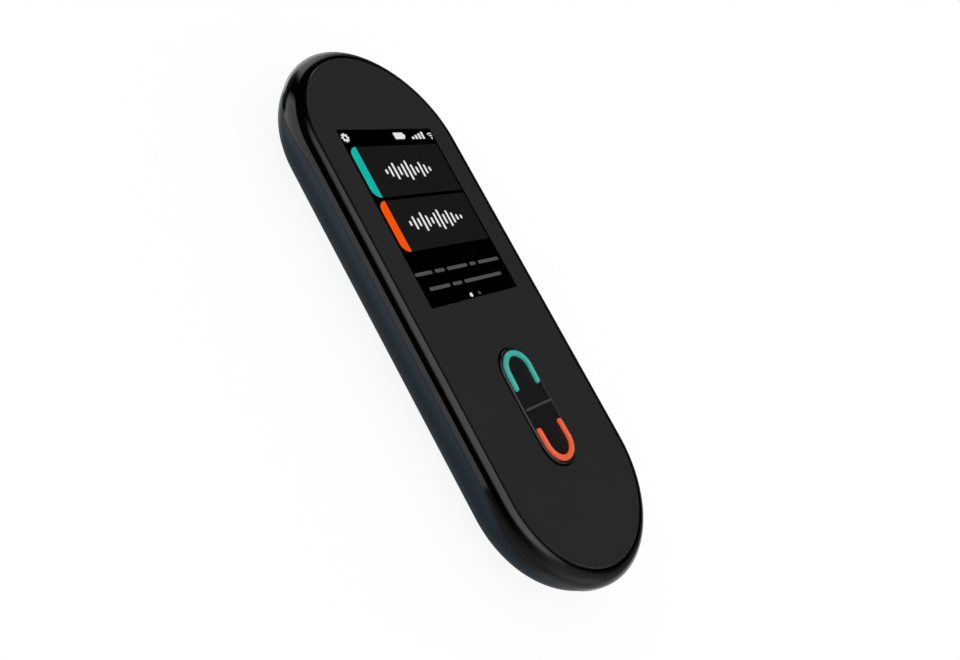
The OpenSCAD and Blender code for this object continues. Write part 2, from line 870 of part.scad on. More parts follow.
module side_bracket() {
    low = side_bracket_x - side_bracket_t;
    color(steel) difference() {
        union() {
            block([low, volume_y - volume_l / 2, 3.4],
                  [side_bracket_x, power_y + power_l / 2, chassis_z - 0.3]);
            for (side = [0, 1]) translate([0, 0, side_key_z]) mirror([0, 0, side])
                block([low, volume_y - 1.2, volume_boss_h / 2 + volume_lug_gap],
                      [volume_pin_x + 0.9, volume_y + 1.2,
                       volume_boss_h / 2 + volume_lug_gap + volume_lug_t]);
        }
        rod_z(volume_pin_r + eps, 0, far, [volume_pin_x, volume_y]);
    }
}

module side_flex() {
    color(flex_amber) difference() {
        block([side_bracket_x, volume_y - volume_l / 2, side_key_z - 1.6],
              [side_flex_x, power_y + power_l / 2, side_key_z + 1.6]);
        block([side_bracket_x - 1, volume_y - 1.4, side_key_z - 3],
              [side_flex_x + 1, volume_y + 1.4, side_key_z + 3]);
    }
}

module side_domes() {
    color("#d9c27a") for (y = [power_y, volume_y - volume_nub_y, volume_y + volume_nub_y])
        translate([side_flex_x, y, side_key_z]) rotate([0, 90, 0])
            cylinder(r1 = 1.5, r2 = 0.9, h = side_dome_h);
}

// Antenna and screws

module wifi_antenna() {
    color(flex_amber) translate([0, half_s, 5]) rotate([0, 0, 104])
        rotate_extrude(angle = 52) translate([tongue_inner, 0]) square([0.2, 2.3]);
}

module screw(spot, seat, length) {
    rod_z(screw_r, seat - length, seat + eps, spot);
    difference() {
        rod_z(screw_head_r, seat, seat + screw_head_h, spot);
        translate([spot[0], spot[1], seat + screw_head_h - 0.3]) cylinder(r = 0.5, h = 1, $fn = 6);
    }
}

module housing_screws() {
    color(steel) for (spot = housing_screw_spots) screw(spot, chassis_top, housing_screw_l);
}

module board_screws() {
    color(steel) {
        for (spot = main_post_spots) screw(spot, board_top, board_screw_l);
        for (spot = usb_post_spots) screw(spot, usb_board_z + board_t, 2);
        for (spot = key_post_spots) translate([0, 0, board_z]) mirror([0, 0, 1]) screw(spot, 0, 2.2);
    }
}

front_frame();
back_shell();
glass_tape();
cover_glass();
display_panel();
backlight();
display_tray();
display_flex();
rocker_key();
divider_rib();
teal_light_guide();
orange_light_guide();
key_pin();
key_board();
key_domes();
teal_led();
orange_led();
key_flex();
chassis();
main_board();
processor();
memory_chip();
power_chip();
processor_shield();
radio_shield();
display_socket();
battery();
battery_tape();
battery_lead();
battery_plug();
speaker_frame();
speaker_cone();
speaker_magnet();
speaker_gasket();
speaker_mesh();
usb_shell();
usb_tongue();
usb_board();
usb_flex();
lower_microphone();
lower_mic_boot();
upper_microphone();
upper_mic_boot();
power_key();
volume_key();
volume_pin();
side_bracket();
side_flex();
side_domes();
wifi_antenna();
housing_screws();
board_screws();
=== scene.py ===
import json
import math

import bmesh
import bpy
from mathutils import Matrix, Vector


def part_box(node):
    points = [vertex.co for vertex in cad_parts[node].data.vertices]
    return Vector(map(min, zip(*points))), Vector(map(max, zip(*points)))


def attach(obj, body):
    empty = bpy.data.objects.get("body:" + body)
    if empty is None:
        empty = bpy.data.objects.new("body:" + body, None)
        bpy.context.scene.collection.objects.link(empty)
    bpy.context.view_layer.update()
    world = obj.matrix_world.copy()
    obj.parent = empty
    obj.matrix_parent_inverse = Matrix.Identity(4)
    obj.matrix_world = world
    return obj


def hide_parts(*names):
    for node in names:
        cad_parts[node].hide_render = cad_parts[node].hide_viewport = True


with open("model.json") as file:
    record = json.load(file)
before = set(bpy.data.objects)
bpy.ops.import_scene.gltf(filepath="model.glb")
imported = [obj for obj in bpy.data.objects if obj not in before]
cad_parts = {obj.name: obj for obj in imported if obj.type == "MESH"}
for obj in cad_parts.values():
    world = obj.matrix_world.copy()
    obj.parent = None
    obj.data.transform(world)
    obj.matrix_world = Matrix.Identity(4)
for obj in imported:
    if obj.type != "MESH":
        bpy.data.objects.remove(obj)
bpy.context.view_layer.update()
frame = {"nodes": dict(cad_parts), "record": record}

mm = 0.001
up = Vector((0, 0, 1))
mergeDistance = 0.002 * mm
cutDistance = 0.0001 * mm


# Small helpers

def hexToLinear(colour):
    channels = [int(colour[i:i + 2], 16) / 255 for i in (1, 3, 5)]
    linear = [c / 12.92 if c <= 0.04045 else ((c + 0.055) / 1.055) ** 2.4 for c in channels]
    return (*linear, 1.0)


def addNode(tree, kind, values=None, links=None, **settings):
    node = tree.nodes.new(kind)
    for name, value in settings.items():
        setattr(node, name, value)
    for socket, value in (values or {}).items():
        node.inputs[socket].default_value = value
    for socket, source in (links or {}).items():
        tree.links.new(source, node.inputs[socket])
    return node


def timesPerMetre(size):
    # a pattern's scale from the real size of one repeat, in millimetres
    return 1000 / size


def waveScale(size):
    # the same for a wave texture, whose bands lie about 1 / 3.14 of a unit apart
    return timesPerMetre(size) / 3.14


def finishPiece(name, bm, body, materials, replaced=(), sharp=32):
    # turns a finished bmesh into a piece of the object, smooth but for its real edges
    mesh = bpy.data.meshes.new(name)
    bm.to_mesh(mesh)
    bm.free()
    mesh.shade_smooth()
    mesh.set_sharp_from_angle(angle=math.radians(sharp))
    for material in materials:
        mesh.materials.append(material)
    piece = bpy.data.objects.new(name, mesh)
    bpy.context.scene.collection.objects.link(piece)
    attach(piece, body)
    if replaced:
        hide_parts(*replaced)
    return piece


def cutAway(piece, bm, sharp=32):
    # takes the bmesh's volumes out of the piece and throws the cutter away
    mesh = bpy.data.meshes.new("cutter")
    bm.to_mesh(mesh)
    bm.free()
    cutter = bpy.data.objects.new("cutter", mesh)
    bpy.context.scene.collection.objects.link(cutter)
    cut = piece.modifiers.new("cut", "BOOLEAN")
    cut.operation = "DIFFERENCE"
    cut.solver = "EXACT"
    cut.object = cutter
    whole = piece.data
    drawn = piece.evaluated_get(bpy.context.evaluated_depsgraph_get())
    piece.data = bpy.data.meshes.new_from_object(drawn)
    piece.data.name = piece.name
    piece.modifiers.clear()
    bpy.data.meshes.remove(whole)
    bpy.data.objects.remove(cutter)
    bpy.data.meshes.remove(mesh)
    piece.data.shade_smooth()
    piece.data.set_sharp_from_angle(angle=math.radians(sharp))


def edgesOf(verts, orders=None, layer=None):
    # edges whose two ends are both among the verts, and on the profile points asked for
    chosen = set(verts)
    edges = {edge for vert in chosen for edge in vert.link_edges if edge.other_vert(vert) in chosen}
    if orders is None:
        return list(edges)
    return [edge for edge in edges if all(vert[layer] in orders for vert in edge.verts)
            and edge.verts[0][layer] == edge.verts[1][layer]]


def extrudeEdges(bm, edges):
    # draws edges out in place, and gives the new edges and their corners, which are still to be moved
    grown = bmesh.ops.extrude_edge_only(bm, edges=edges)["geom"]
    return ([item for item in grown if isinstance(item, bmesh.types.BMEdge)],
            [item for item in grown if isinstance(item, bmesh.types.BMVert)])


def sweepSlot(profile, straight, steps=64, runs=(1,), closed=False):
    # carries a profile of (distance from the mid line, height) points once round a slot outline.
    # runs gives how the straight is shared out; each vertex remembers which profile point it came from
    bm = bmesh.new()
    order = bm.verts.layers.int.new("order")
    verts = []
    for index, (across, height) in enumerate(profile):
        vert = bm.verts.new((across, straight, height))
        vert[order] = index
        verts.append(vert)
    pairs = list(zip(verts, verts[1:]))
    if closed:
        pairs.append((verts[-1], verts[0]))
    ring = [bm.edges.new(pair) for pair in pairs]
    for end in (1, -1):
        geometry = ring + list({vert for edge in ring for vert in edge.verts})
        turned = bmesh.ops.spin(bm, geom=geometry, cent=(0, end * straight, 0), axis=up, dvec=(0, 0, 0),
                                angle=math.pi, steps=steps, use_merge=False, use_duplicate=False)
        ring = [item for item in turned["geom_last"] if isinstance(item, bmesh.types.BMEdge)]
        for run in runs:
            ring, moved = extrudeEdges(bm, ring)
            shift = -end * 2 * straight * run / sum(runs)
            bmesh.ops.translate(bm, verts=moved, vec=(0, shift, 0))
    bmesh.ops.remove_doubles(bm, verts=bm.verts, dist=mergeDistance)
    bmesh.ops.recalc_face_normals(bm, faces=bm.faces)
    return bm, order


def roundEdges(bm, edges, radius, segments=3):
    return bmesh.ops.bevel(bm, geom=edges, offset=radius, offset_type="OFFSET", segments=segments,
                           profile=0.5, affect="EDGES", material=-1)


def addSlab(bm, low, high, radius=0, sides=(-1, 1)):
    # a flat box from its two corners, with the upright edges rounded on the sides named
    low, high = Vector(low), Vector(high)
    verts = bmesh.ops.create_cube(bm, size=1)["verts"]
    bmesh.ops.scale(bm, verts=verts, vec=high - low)
    bmesh.ops.translate(bm, verts=verts, vec=(low + high) / 2)
    if radius:
        middle = (low.x + high.x) / 2
        upright = [edge for edge in edgesOf(verts)
                   if abs(edge.verts[0].co.z - edge.verts[1].co.z) > (high.z - low.z) / 2
                   and math.copysign(1, edge.verts[0].co.x - middle) in sides]
        roundEdges(bm, upright, radius, 6)
    return verts


def closeSeams(bm, before):
    # merges the doubled corners of the faces made since, and gives back those faces' corners
    corners = list({vert for face in bm.faces if face not in before for vert in face.verts})
    bmesh.ops.remove_doubles(bm, verts=corners, dist=mergeDistance)
    return [vert for vert in corners if vert.is_valid]


def thicken(bm, faces, height):
    # draws flat faces up into a solid
    grown = bmesh.ops.extrude_face_region(bm, geom=faces)["geom"]
    moved = [item for item in grown if isinstance(item, bmesh.types.BMVert)]
    bmesh.ops.translate(bm, verts=moved, vec=(0, 0, height))


# Materials

def newMaterial(name):
    material = bpy.data.materials.new(name)
    material.use_nodes = True
    material.node_tree.nodes.clear()
    return material


def makeFinish(name, settings):
    # moulded, painted, rolled or woven: the colour drifts between two values, and the
    # roughness and the relief follow a grain of the surface's real size
    material = newMaterial(name)
    tree = material.node_tree
    place = addNode(tree, "ShaderNodeTexCoord").outputs["Object"]
    drift = addNode(tree, "ShaderNodeTexNoise",
                    {"Scale": timesPerMetre(settings["drift"]), "Detail": 2.0}, {"Vector": place})
    colour = addNode(tree, "ShaderNodeMix",
                     {6: hexToLinear(settings["colours"][0]), 7: hexToLinear(settings["colours"][1])},
                     {0: drift.outputs["Fac"]}, data_type="RGBA")
    grainPlace = addNode(tree, "ShaderNodeMapping", {"Scale": settings.get("stretch", (1, 1, 1))},
                         {"Vector": place})
    kind = settings.get("pattern", "ShaderNodeTexNoise")
    grain = addNode(tree, kind, {"Scale": timesPerMetre(settings["grain"])},
                    {"Vector": grainPlace.outputs["Vector"]})
    height = grain.outputs["Distance" if kind == "ShaderNodeTexVoronoi" else "Fac"]
    if "weave" in settings:
        crossing = addNode(tree, "ShaderNodeTexWave", {"Scale": waveScale(settings["weave"])},
                           {"Vector": place}, bands_direction="Y")
        along = addNode(tree, "ShaderNodeTexWave", {"Scale": waveScale(settings["weave"])},
                        {"Vector": place}, bands_direction="X")
        height = addNode(tree, "ShaderNodeMath", {}, {0: crossing.outputs["Fac"], 1: along.outputs["Fac"]},
                         operation="MULTIPLY").outputs[0]
    low, high = settings["roughness"]
    roughness = addNode(tree, "ShaderNodeMapRange", {"To Min": low, "To Max": high}, {"Value": height})
    relief = addNode(tree, "ShaderNodeBump", {"Strength": 1.0, "Distance": settings["relief"] * mm},
                     {"Height": height})
    skin = addNode(tree, "ShaderNodeBsdfPrincipled",
                   {"Metallic": settings.get("metallic", 0.0), "IOR": settings.get("ior", 1.5),
                    "Specular IOR Level": settings.get("specular", 0.5),
                    "Coat Weight": settings.get("coat", 0.0), "Coat Roughness": 0.05,
                    "Emission Strength": settings.get("glow", 0.0)},
                   {"Base Color": colour.outputs[2], "Roughness": roughness.outputs["Result"],
                    "Normal": relief.outputs["Normal"]})
    # a glow makes the surface give off its own colour: painted light, not light from any lamp
    if settings.get("glow"):
        tree.links.new(colour.outputs[2], skin.inputs["Emission Color"])
    addNode(tree, "ShaderNodeOutputMaterial", {}, {"Surface": skin.outputs["BSDF"]})
    return material


finishes = {
    # high-gloss ABS from a polished mould: near black, mirror-sharp, with a faint ripple
    "glossAbs": {"colours": ("#020203", "#040405"), "drift": 9, "grain": 3, "roughness": (0.03, 0.05),
                 "relief": 0.0004},
    # satin paint with metal flake, blue-grey: it takes its light from what stands round it
    "satinPaint": {"colours": ("#1f2b33", "#233139"), "drift": 4, "grain": 0.12, "roughness": (0.3, 0.38),
                   "relief": 0.0012, "metallic": 0.45, "specular": 0.3},
    # cover glass with black printed on its back: charcoal and glossy
    "printedGlass": {"colours": ("#282828", "#2a2a2a"), "drift": 14, "grain": 6, "roughness": (0.1, 0.13),
                     "relief": 0.0001, "ior": 1.45},
    # matt ABS from a spark-eroded mould: nearly black, with a fine grain
    "keyAbs": {"colours": ("#0b0b0c", "#0d0d0e"), "drift": 3, "grain": 0.14, "roughness": (0.4, 0.5),
               "relief": 0.004, "specular": 0.3},
    # the same ABS where the mould's rim is polished: a thin bright line
    "keyEdge": {"colours": ("#0b0b0c", "#0f0f10"), "drift": 3, "grain": 0.14, "roughness": (0.14, 0.2),
                "relief": 0.001, "specular": 1.0},
    "ribAbs": {"colours": ("#3a3a3c", "#414143"), "drift": 2, "grain": 0.1, "roughness": (0.35, 0.45),
               "relief": 0.002},
    # tinted polycarbonate light guides, with a slight glow that is painted light and evens out their shading:
    # even colour, soft gloss
    "tealGuide": {"colours": ("#33a89b", "#38aea0"), "drift": 2, "grain": 0.3, "roughness": (0.24, 0.3),
                  "relief": 0.0006, "glow": 0.06},
    "orangeGuide": {"colours": ("#ea592e", "#ee6036"), "drift": 2, "grain": 0.3, "roughness": (0.24, 0.3),
                    "relief": 0.0006, "glow": 0.06},
    # unlit panel glass: black, with a trace of the rows of dots
    "panelGlass": {"colours": ("#000000", "#010101"), "drift": 5, "grain": 0.13, "roughness": (0.3, 0.34),
                   "relief": 0.0001, "pattern": "ShaderNodeTexWave", "specular": 0.02},
    # backlight sheet, white polycarbonate
    "backlightSheet": {"colours": ("#e4e8ea", "#eef1f2"), "drift": 6, "grain": 0.2,
                       "roughness": (0.5, 0.6), "relief": 0.001},
    # rolled stainless steel: grey, drawn streaks along X
    "rolledSteel": {"colours": ("#a9adb2", "#c2c5c9"), "drift": 3, "grain": 0.25, "stretch": (0.08, 1, 1),
                    "roughness": (0.24, 0.38), "relief": 0.0015, "metallic": 1.0},
    # glass-epoxy board under green solder mask: the weave shows through the gloss
    "boardMask": {"colours": ("#164a2f", "#1d5c3a"), "drift": 2, "grain": 0.4, "weave": 0.5,
                  "roughness": (0.28, 0.4), "relief": 0.003, "coat": 0.3},
    # copper on polyimide film: amber, smooth, fine tracks along Y
    "polyimide": {"colours": ("#a8692a", "#bd7d31"), "drift": 3, "grain": 0.5, "roughness": (0.25, 0.35),
                  "relief": 0.004, "pattern": "ShaderNodeTexWave"},
    # chip epoxy: matt black with fine filler
    "chipEpoxy": {"colours": ("#1b1c1e", "#232427"), "drift": 1, "grain": 0.08, "roughness": (0.5, 0.62),
                  "relief": 0.002},
    # gold-plated spring steel: warm and shiny
    "goldPlate": {"colours": ("#d3b765", "#dcc480"), "drift": 1.5, "grain": 0.2, "roughness": (0.18, 0.28),
                  "relief": 0.0006, "metallic": 1.0},
    # diode in milky resin
    "diodeResin": {"colours": ("#e9efe9", "#f2f5ea"), "drift": 0.6, "grain": 0.1,
                   "roughness": (0.25, 0.35), "relief": 0.001},
    # die-cast magnesium: grey, with a flow grain
    "castAlloy": {"colours": ("#83878c", "#94989d"), "drift": 5, "grain": 0.35, "roughness": (0.42, 0.58),
                  "relief": 0.006, "metallic": 1.0, "pattern": "ShaderNodeTexVoronoi"},
    # moulded silicone rubber: soft black
    "siliconeRubber": {"colours": ("#262627", "#303031"), "drift": 2, "grain": 0.2,
                       "roughness": (0.6, 0.72), "relief": 0.003},
    # nylon socket body
    "socketNylon": {"colours": ("#d2cbbb", "#ddd7c9"), "drift": 2, "grain": 0.15,
                    "roughness": (0.4, 0.5), "relief": 0.001},
    # aluminium-laminate pouch: silver with soft wrinkles
    "pouchFoil": {"colours": ("#bfc2c7", "#cfd2d6"), "drift": 8, "grain": 2.4, "roughness": (0.3, 0.42),
                  "relief": 0.03, "metallic": 0.8},
    # acrylic foam tape
    "foamTape": {"colours": ("#dedfd8", "#efefe8"), "drift": 3, "grain": 0.3, "roughness": (0.6, 0.75),
                 "relief": 0.006},
    # PVC wire sleeve
    "wireSleeve": {"colours": ("#a3211a", "#b9281f"), "drift": 2, "grain": 0.2, "roughness": (0.35, 0.45),
                   "relief": 0.001},
    # pressed paper cone: charcoal fibres
    "conePaper": {"colours": ("#2f2f31", "#404043"), "drift": 0.6, "grain": 0.25,
                  "roughness": (0.7, 0.85), "relief": 0.008},
    # woven dust mesh behind the grille, drawn at 0.35 mm so that the weave shows
    "wovenMesh": {"colours": ("#2b2c2e", "#47484b"), "drift": 1, "grain": 0.35, "weave": 0.35,
                  "roughness": (0.4, 0.6), "relief": 0.05, "metallic": 0.6},
}
made = {name: makeFinish(name, settings) for name, settings in finishes.items()}


def makeClearGlass():
    # the unprinted window of the cover glass: clear, faintly uneven from its polish
    material = newMaterial("windowGlass")
    tree = material.node_tree
    place = addNode(tree, "ShaderNodeTexCoord").outputs["Object"]
    polish = addNode(tree, "ShaderNodeTexNoise", {"Scale": timesPerMetre(20)}, {"Vector": place})
    roughness = addNode(tree, "ShaderNodeMapRange", {"To Min": 0.0, "To Max": 0.02},
                        {"Value": polish.outputs["Fac"]})
    glass = addNode(tree, "ShaderNodeBsdfPrincipled",
                    {"Base Color": hexToLinear("#ffffff"), "IOR": 1.5, "Transmission Weight": 1.0},
                    {"Roughness": roughness.outputs["Result"]})
    addNode(tree, "ShaderNodeOutputMaterial", {}, {"Surface": glass.outputs["BSDF"]})
    return material


def makePixels(name, colour):
    # lit dots of the display. Their 0.128 mm rows are drawn two by two, still too fine to show, so
    # their contrast is low
    material = newMaterial(name)
    tree = material.node_tree
    place = addNode(tree, "ShaderNodeTexCoord").outputs["Object"]
    rows = addNode(tree, "ShaderNodeTexWave", {"Scale": waveScale(0.256)}, {"Vector": place},
                   bands_direction="Y")
    level = addNode(tree, "ShaderNodeMapRange", {"To Min": 0.96, "To Max": 1.04},
                    {"Value": rows.outputs["Fac"]})
    skin = addNode(tree, "ShaderNodeBsdfPrincipled",
                   {"Base Color": hexToLinear("#020202"), "Roughness": 0.5,
                    "Specular IOR Level": 0.0, "Emission Color": hexToLinear(colour)},
                   {"Emission Strength": level.outputs["Result"]})
    addNode(tree, "ShaderNodeOutputMaterial", {}, {"Surface": skin.outputs["BSDF"]})
    return material


made["windowGlass"] = makeClearGlass()
pixelColours = {"greyPixels": "#1b1b1b", "tealPixels": "#14beaf", "orangePixels": "#ff5a0c",
                "whitePixels": "#f2f2f2", "dimPixels": "#555555"}
for name, colour in pixelColours.items():
    made[name] = makePixels(name, colour)
print("materials made:", len(made))


# The body: a slab with round ends, seen in its half section as a small front round,
# a short upright side and a large back round

body = {
    "frontRadius": 3.2 * mm,
    "backRadius": 9.0 * mm,
    "wall": 1.5 * mm,
    "partDrop": 2.05 * mm,        # how much lower the parting line lies at the ends
    "partTurnStart": 31.0 * mm,   # where along the length it starts to drop
    "partTurnEnd": 56.0 * mm,     # and where it has dropped
    "partGap": 0.25 * mm,
    "partEdge": 0.12 * mm,        # rounding of the two edges at the groove
    "roundSteps": 96,             # steps round each end
    # how the straight is shared out, in short steps where the parting line drops
    "runs": [1.3] * 6 + [4] * 16 + [1.3] * 6,
}
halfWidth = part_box("front_frame")[1].x
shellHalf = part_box("back_shell")[1].x
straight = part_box("front_frame")[1].y - halfWidth
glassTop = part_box("cover_glass")[1].z
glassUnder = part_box("cover_glass")[0].z
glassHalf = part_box("cover_glass")[1].x
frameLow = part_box("front_frame")[0].z
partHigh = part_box("back_shell")[1].z + body["partGap"]
frontArc = body["frontRadius"] * math.pi / 2
uprightSide = glassTop - body["frontRadius"] - body["backRadius"]
backArc = body["backRadius"] * math.pi / 2


def sectionPoint(length):
    # distance from the mid line and height, a length down the outside from the top of the front round
    if length < frontArc:
        turn = length / body["frontRadius"]
        return (halfWidth - body["frontRadius"] * (1 - math.sin(turn)),
                glassTop - body["frontRadius"] * (1 - math.cos(turn)))
    length -= frontArc
    if length < uprightSide:
        return halfWidth, glassTop - body["frontRadius"] - length
    turn = (length - uprightSide) / body["backRadius"]
    return (halfWidth - body["backRadius"] * (1 - math.cos(turn)),
            body["backRadius"] * (1 - math.sin(turn)))


def lengthAtHeight(height):
    if height > glassTop - body["frontRadius"]:
        return body["frontRadius"] * math.acos(1 - (glassTop - height) / body["frontRadius"])
    if height > body["backRadius"]:
        return frontArc + glassTop - body["frontRadius"] - height
    return frontArc + uprightSide + body["backRadius"] * math.asin(1 - height / body["backRadius"])


def partingHeight(y):
    # level along the sides, then down to the ends by two equal arcs
    run = body["partTurnEnd"] - body["partTurnStart"]
    drop = body["partDrop"]
    radius = ((run / 2) ** 2 + (drop / 2) ** 2) / drop
    past = min(max(abs(y) - body["partTurnStart"], 0), run)
    if past < run / 2:
        return partHigh - radius + math.sqrt(radius ** 2 - past ** 2)
    return partHigh - drop + radius - math.sqrt(radius ** 2 - (run - past) ** 2)


def outwardOf(vert):
    # the nearest point of the slot's mid line, and the way out from it, seen from above
    middle = Vector((0, max(-straight, min(straight, vert.co.y)), 0))
    return middle, (Vector((vert.co.x, vert.co.y, 0)) - middle).normalized()


def moveOnto(bm, order, shares, start, gap, step):
    # spreads the outside's profile points between a start and the parting line, which is not
    # level. The shell lies a step inside the frame
    for vert in bm.verts:
        share = shares.get(vert[order])
        if share is None:
            continue
        middle, outward = outwardOf(vert)
        height = partingHeight(middle.y + outward.y * halfWidth) - gap
        if share == "level":
            vert.co.z = height
            continue
        end = lengthAtHeight(height)
        across, z = sectionPoint(start + (end - start) * share)
        vert.co = middle + outward * (across - step) + up * z


# The front frame, from its outside to the ledge that carries the glass

frameSizes = {
    # out and in are distances from the mid line, top and under are heights
    "outsidePoints": 34,
    "glassGap": 0.5 * mm,
    "innerEdge": 0.1 * mm,
    "tongueOut": 22.75 * mm,
    "tongueIn": 21.4 * mm,
    "ledgeIn": 19.4 * mm,
    "ledgeTop": 11.85 * mm,
    "ledgeUnder": 10.85 * mm,
}


def makeFrontFrame():
    count = frameSizes["outsidePoints"]
    recess = glassHalf + frameSizes["glassGap"]
    start = body["frontRadius"] * math.asin(frameSizes["glassGap"] / body["frontRadius"])
    profile = [sectionPoint(start + (frontArc - start) * i / (count - 1)) for i in range(count)]
    profile += [
        (frameSizes["tongueOut"], partHigh),
        (frameSizes["tongueOut"], frameLow),
        (frameSizes["tongueIn"], frameLow),
        (frameSizes["tongueIn"], frameSizes["ledgeUnder"]),
        (frameSizes["ledgeIn"], frameSizes["ledgeUnder"]),
        (frameSizes["ledgeIn"], frameSizes["ledgeTop"]),
        (recess, frameSizes["ledgeTop"]),
    ]
    bm, order = sweepSlot(profile, straight, body["roundSteps"], body["runs"], closed=True)
    shares = {i: i / (count - 1) for i in range(count)}
    shares[count] = "level"
    moveOnto(bm, order, shares, start, 0, 0)
    roundEdges(bm, edgesOf(bm.verts, {0}, order), frameSizes["innerEdge"])
    roundEdges(bm, edgesOf(bm.verts, {count - 1}, order), body["partEdge"])
    finishPiece("frontFrame", bm, "housing", [made["glossAbs"]], ["front_frame"])


makeFrontFrame()
print("front frame made")


# The back shell, with its cut-outs

shellSizes = {
    "outsidePoints": 40,
    "insidePoints": 12,
    "flatStep": 5.0 * mm,
}
sideKeys = {
    "middle": 7.6 * mm,           # height over the back
    "height": 2.4 * mm,
    "gap": 0.2 * mm,
    "edge": 0.25 * mm,
    "runs": 6,
    "cutFlare": 0.14 * mm,
    "cutDepth": 4.0 * mm,
    "cutSunk": 0.05 * mm,         # the cutter's z 0 lies this far inside the shell's side
    "flangeOver": 0.4 * mm,       # the flange that keeps the key in, past its face all round
    "flangeThick": 0.6 * mm,
    "flangeEnds": 1.0 * mm,       # how far the solid's own flange runs past the ends of its face
    "foot": {"power_key": 0.4 * mm, "volume_key": 0.65 * mm},   # from the inner end to the flange
    "faceRing": 0.6,              # an extra ring of points on the face, at this share of its half height
}
port = {
    "middle": 6.0 * mm,           # height over the back
    "clearance": 0.18 * mm,
    "flare": 0.15 * mm,
    "depth": 4.0 * mm,
}
grille = {
    "columns": 7,
    "rows": 3,
    "pitch": 2.2 * mm,
    "radius": 0.65 * mm,
    "flare": 0.15 * mm,
    "depth": body["wall"] + 1.0 * mm,
    "middle": 45.0 * mm,          # along the length
}
micHoles = {
    "spots": ((10.0 * mm, -1), (0, 1)),   # across, and at which end
    "radius": 0.6 * mm,
    "depth": 5.0 * mm,
    "over": 1.0 * mm,                     # the cutter starts this far outside the round end,
    "flare": 0.1 * mm,                    # and so its chamfer leaves the hole's rim sharp
}


def addPin(bm, radius, flare, depth, transform):
    # a round cutter that comes down through the surface at z 0 and widens to a chamfer there
    profile = [(0, -depth), (radius, -depth), (radius, -flare), (radius + 2 * flare, flare), (0, flare)]
    before = set(bm.faces)
    verts = [bm.verts.new((x, 0, z)) for x, z in profile]
    edges = [bm.edges.new(pair) for pair in zip(verts, verts[1:])]
    bmesh.ops.spin(bm, geom=verts + edges, cent=(0, 0, 0), axis=up, angle=2 * math.pi, steps=24,
                   use_merge=True)
    bmesh.ops.transform(bm, matrix=transform, verts=closeSeams(bm, before))


def addSlotCutter(bm, radius, reach, flare, depth, transform):
    # the same as a slot: round ends of this radius, and reach from the middle to their centres
    profile = [(0, -depth), (radius, -depth), (radius, -flare), (radius + 3 * flare, 2 * flare),
               (0, 2 * flare)]
    slot = sweepSlot(profile, reach, steps=24)[0]
    bmesh.ops.transform(slot, matrix=transform, verts=slot.verts)
    mesh = bpy.data.meshes.new("slotCutter")
    slot.to_mesh(mesh)
    slot.free()
    bm.from_mesh(mesh)
    bpy.data.meshes.remove(mesh)


def sideKeyFrame(node):
    # stands a slot drawn on XY against the right side, at a side key's middle
    low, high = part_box(node)
    place = Matrix.Translation((0, (low.y + high.y) / 2, sideKeys["middle"]))
    return place @ Matrix.Rotation(math.pi / 2, 4, "Y")


def sideKeyReach(node):
    # from a side key's middle to the centres of its round ends
    low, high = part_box(node)
    return (high.y - low.y - 2 * sideKeys["flangeEnds"]) / 2 - sideKeys["height"] / 2


def addGrilleCutters(bm):
    for column in range(grille["columns"]):
        for row in range(grille["rows"]):
            x = (column - (grille["columns"] - 1) / 2) * grille["pitch"]
            y = grille["middle"] + (row - (grille["rows"] - 1) / 2) * grille["pitch"]
            facing = Matrix.Translation((x, y, 0)) @ Matrix.Rotation(math.pi, 4, "X")
            addPin(bm, grille["radius"], grille["flare"], grille["depth"], facing)


def addMicCutters(bm):
    for x, end in micHoles["spots"]:
        reach = end * (straight + math.sqrt(shellHalf ** 2 - x ** 2) + micHoles["over"])
        facing = Matrix.Translation((x, reach, port["middle"])) @ Matrix.Rotation(-end * math.pi / 2, 4, "X")
        addPin(bm, micHoles["radius"], micHoles["flare"], micHoles["depth"], facing)


def addPortCutter(bm):
    low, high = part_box("usb_shell")
    half = (high.z - low.z) / 2
    place = Matrix.Translation((0, -(straight + shellHalf), port["middle"]))
    facing = place @ Matrix.Rotation(math.pi / 2, 4, "X") @ Matrix.Rotation(math.pi / 2, 4, "Z")
    addSlotCutter(bm, half + port["clearance"], high.x - half, port["flare"], port["depth"], facing)


def addSideKeyCutters(bm):
    for node in ("power_key", "volume_key"):
        facing = Matrix.Translation((shellHalf - sideKeys["cutSunk"], 0, 0)) @ sideKeyFrame(node)
        addSlotCutter(bm, sideKeys["height"] / 2 + sideKeys["gap"], sideKeyReach(node),
                      sideKeys["cutFlare"], sideKeys["cutDepth"], facing)


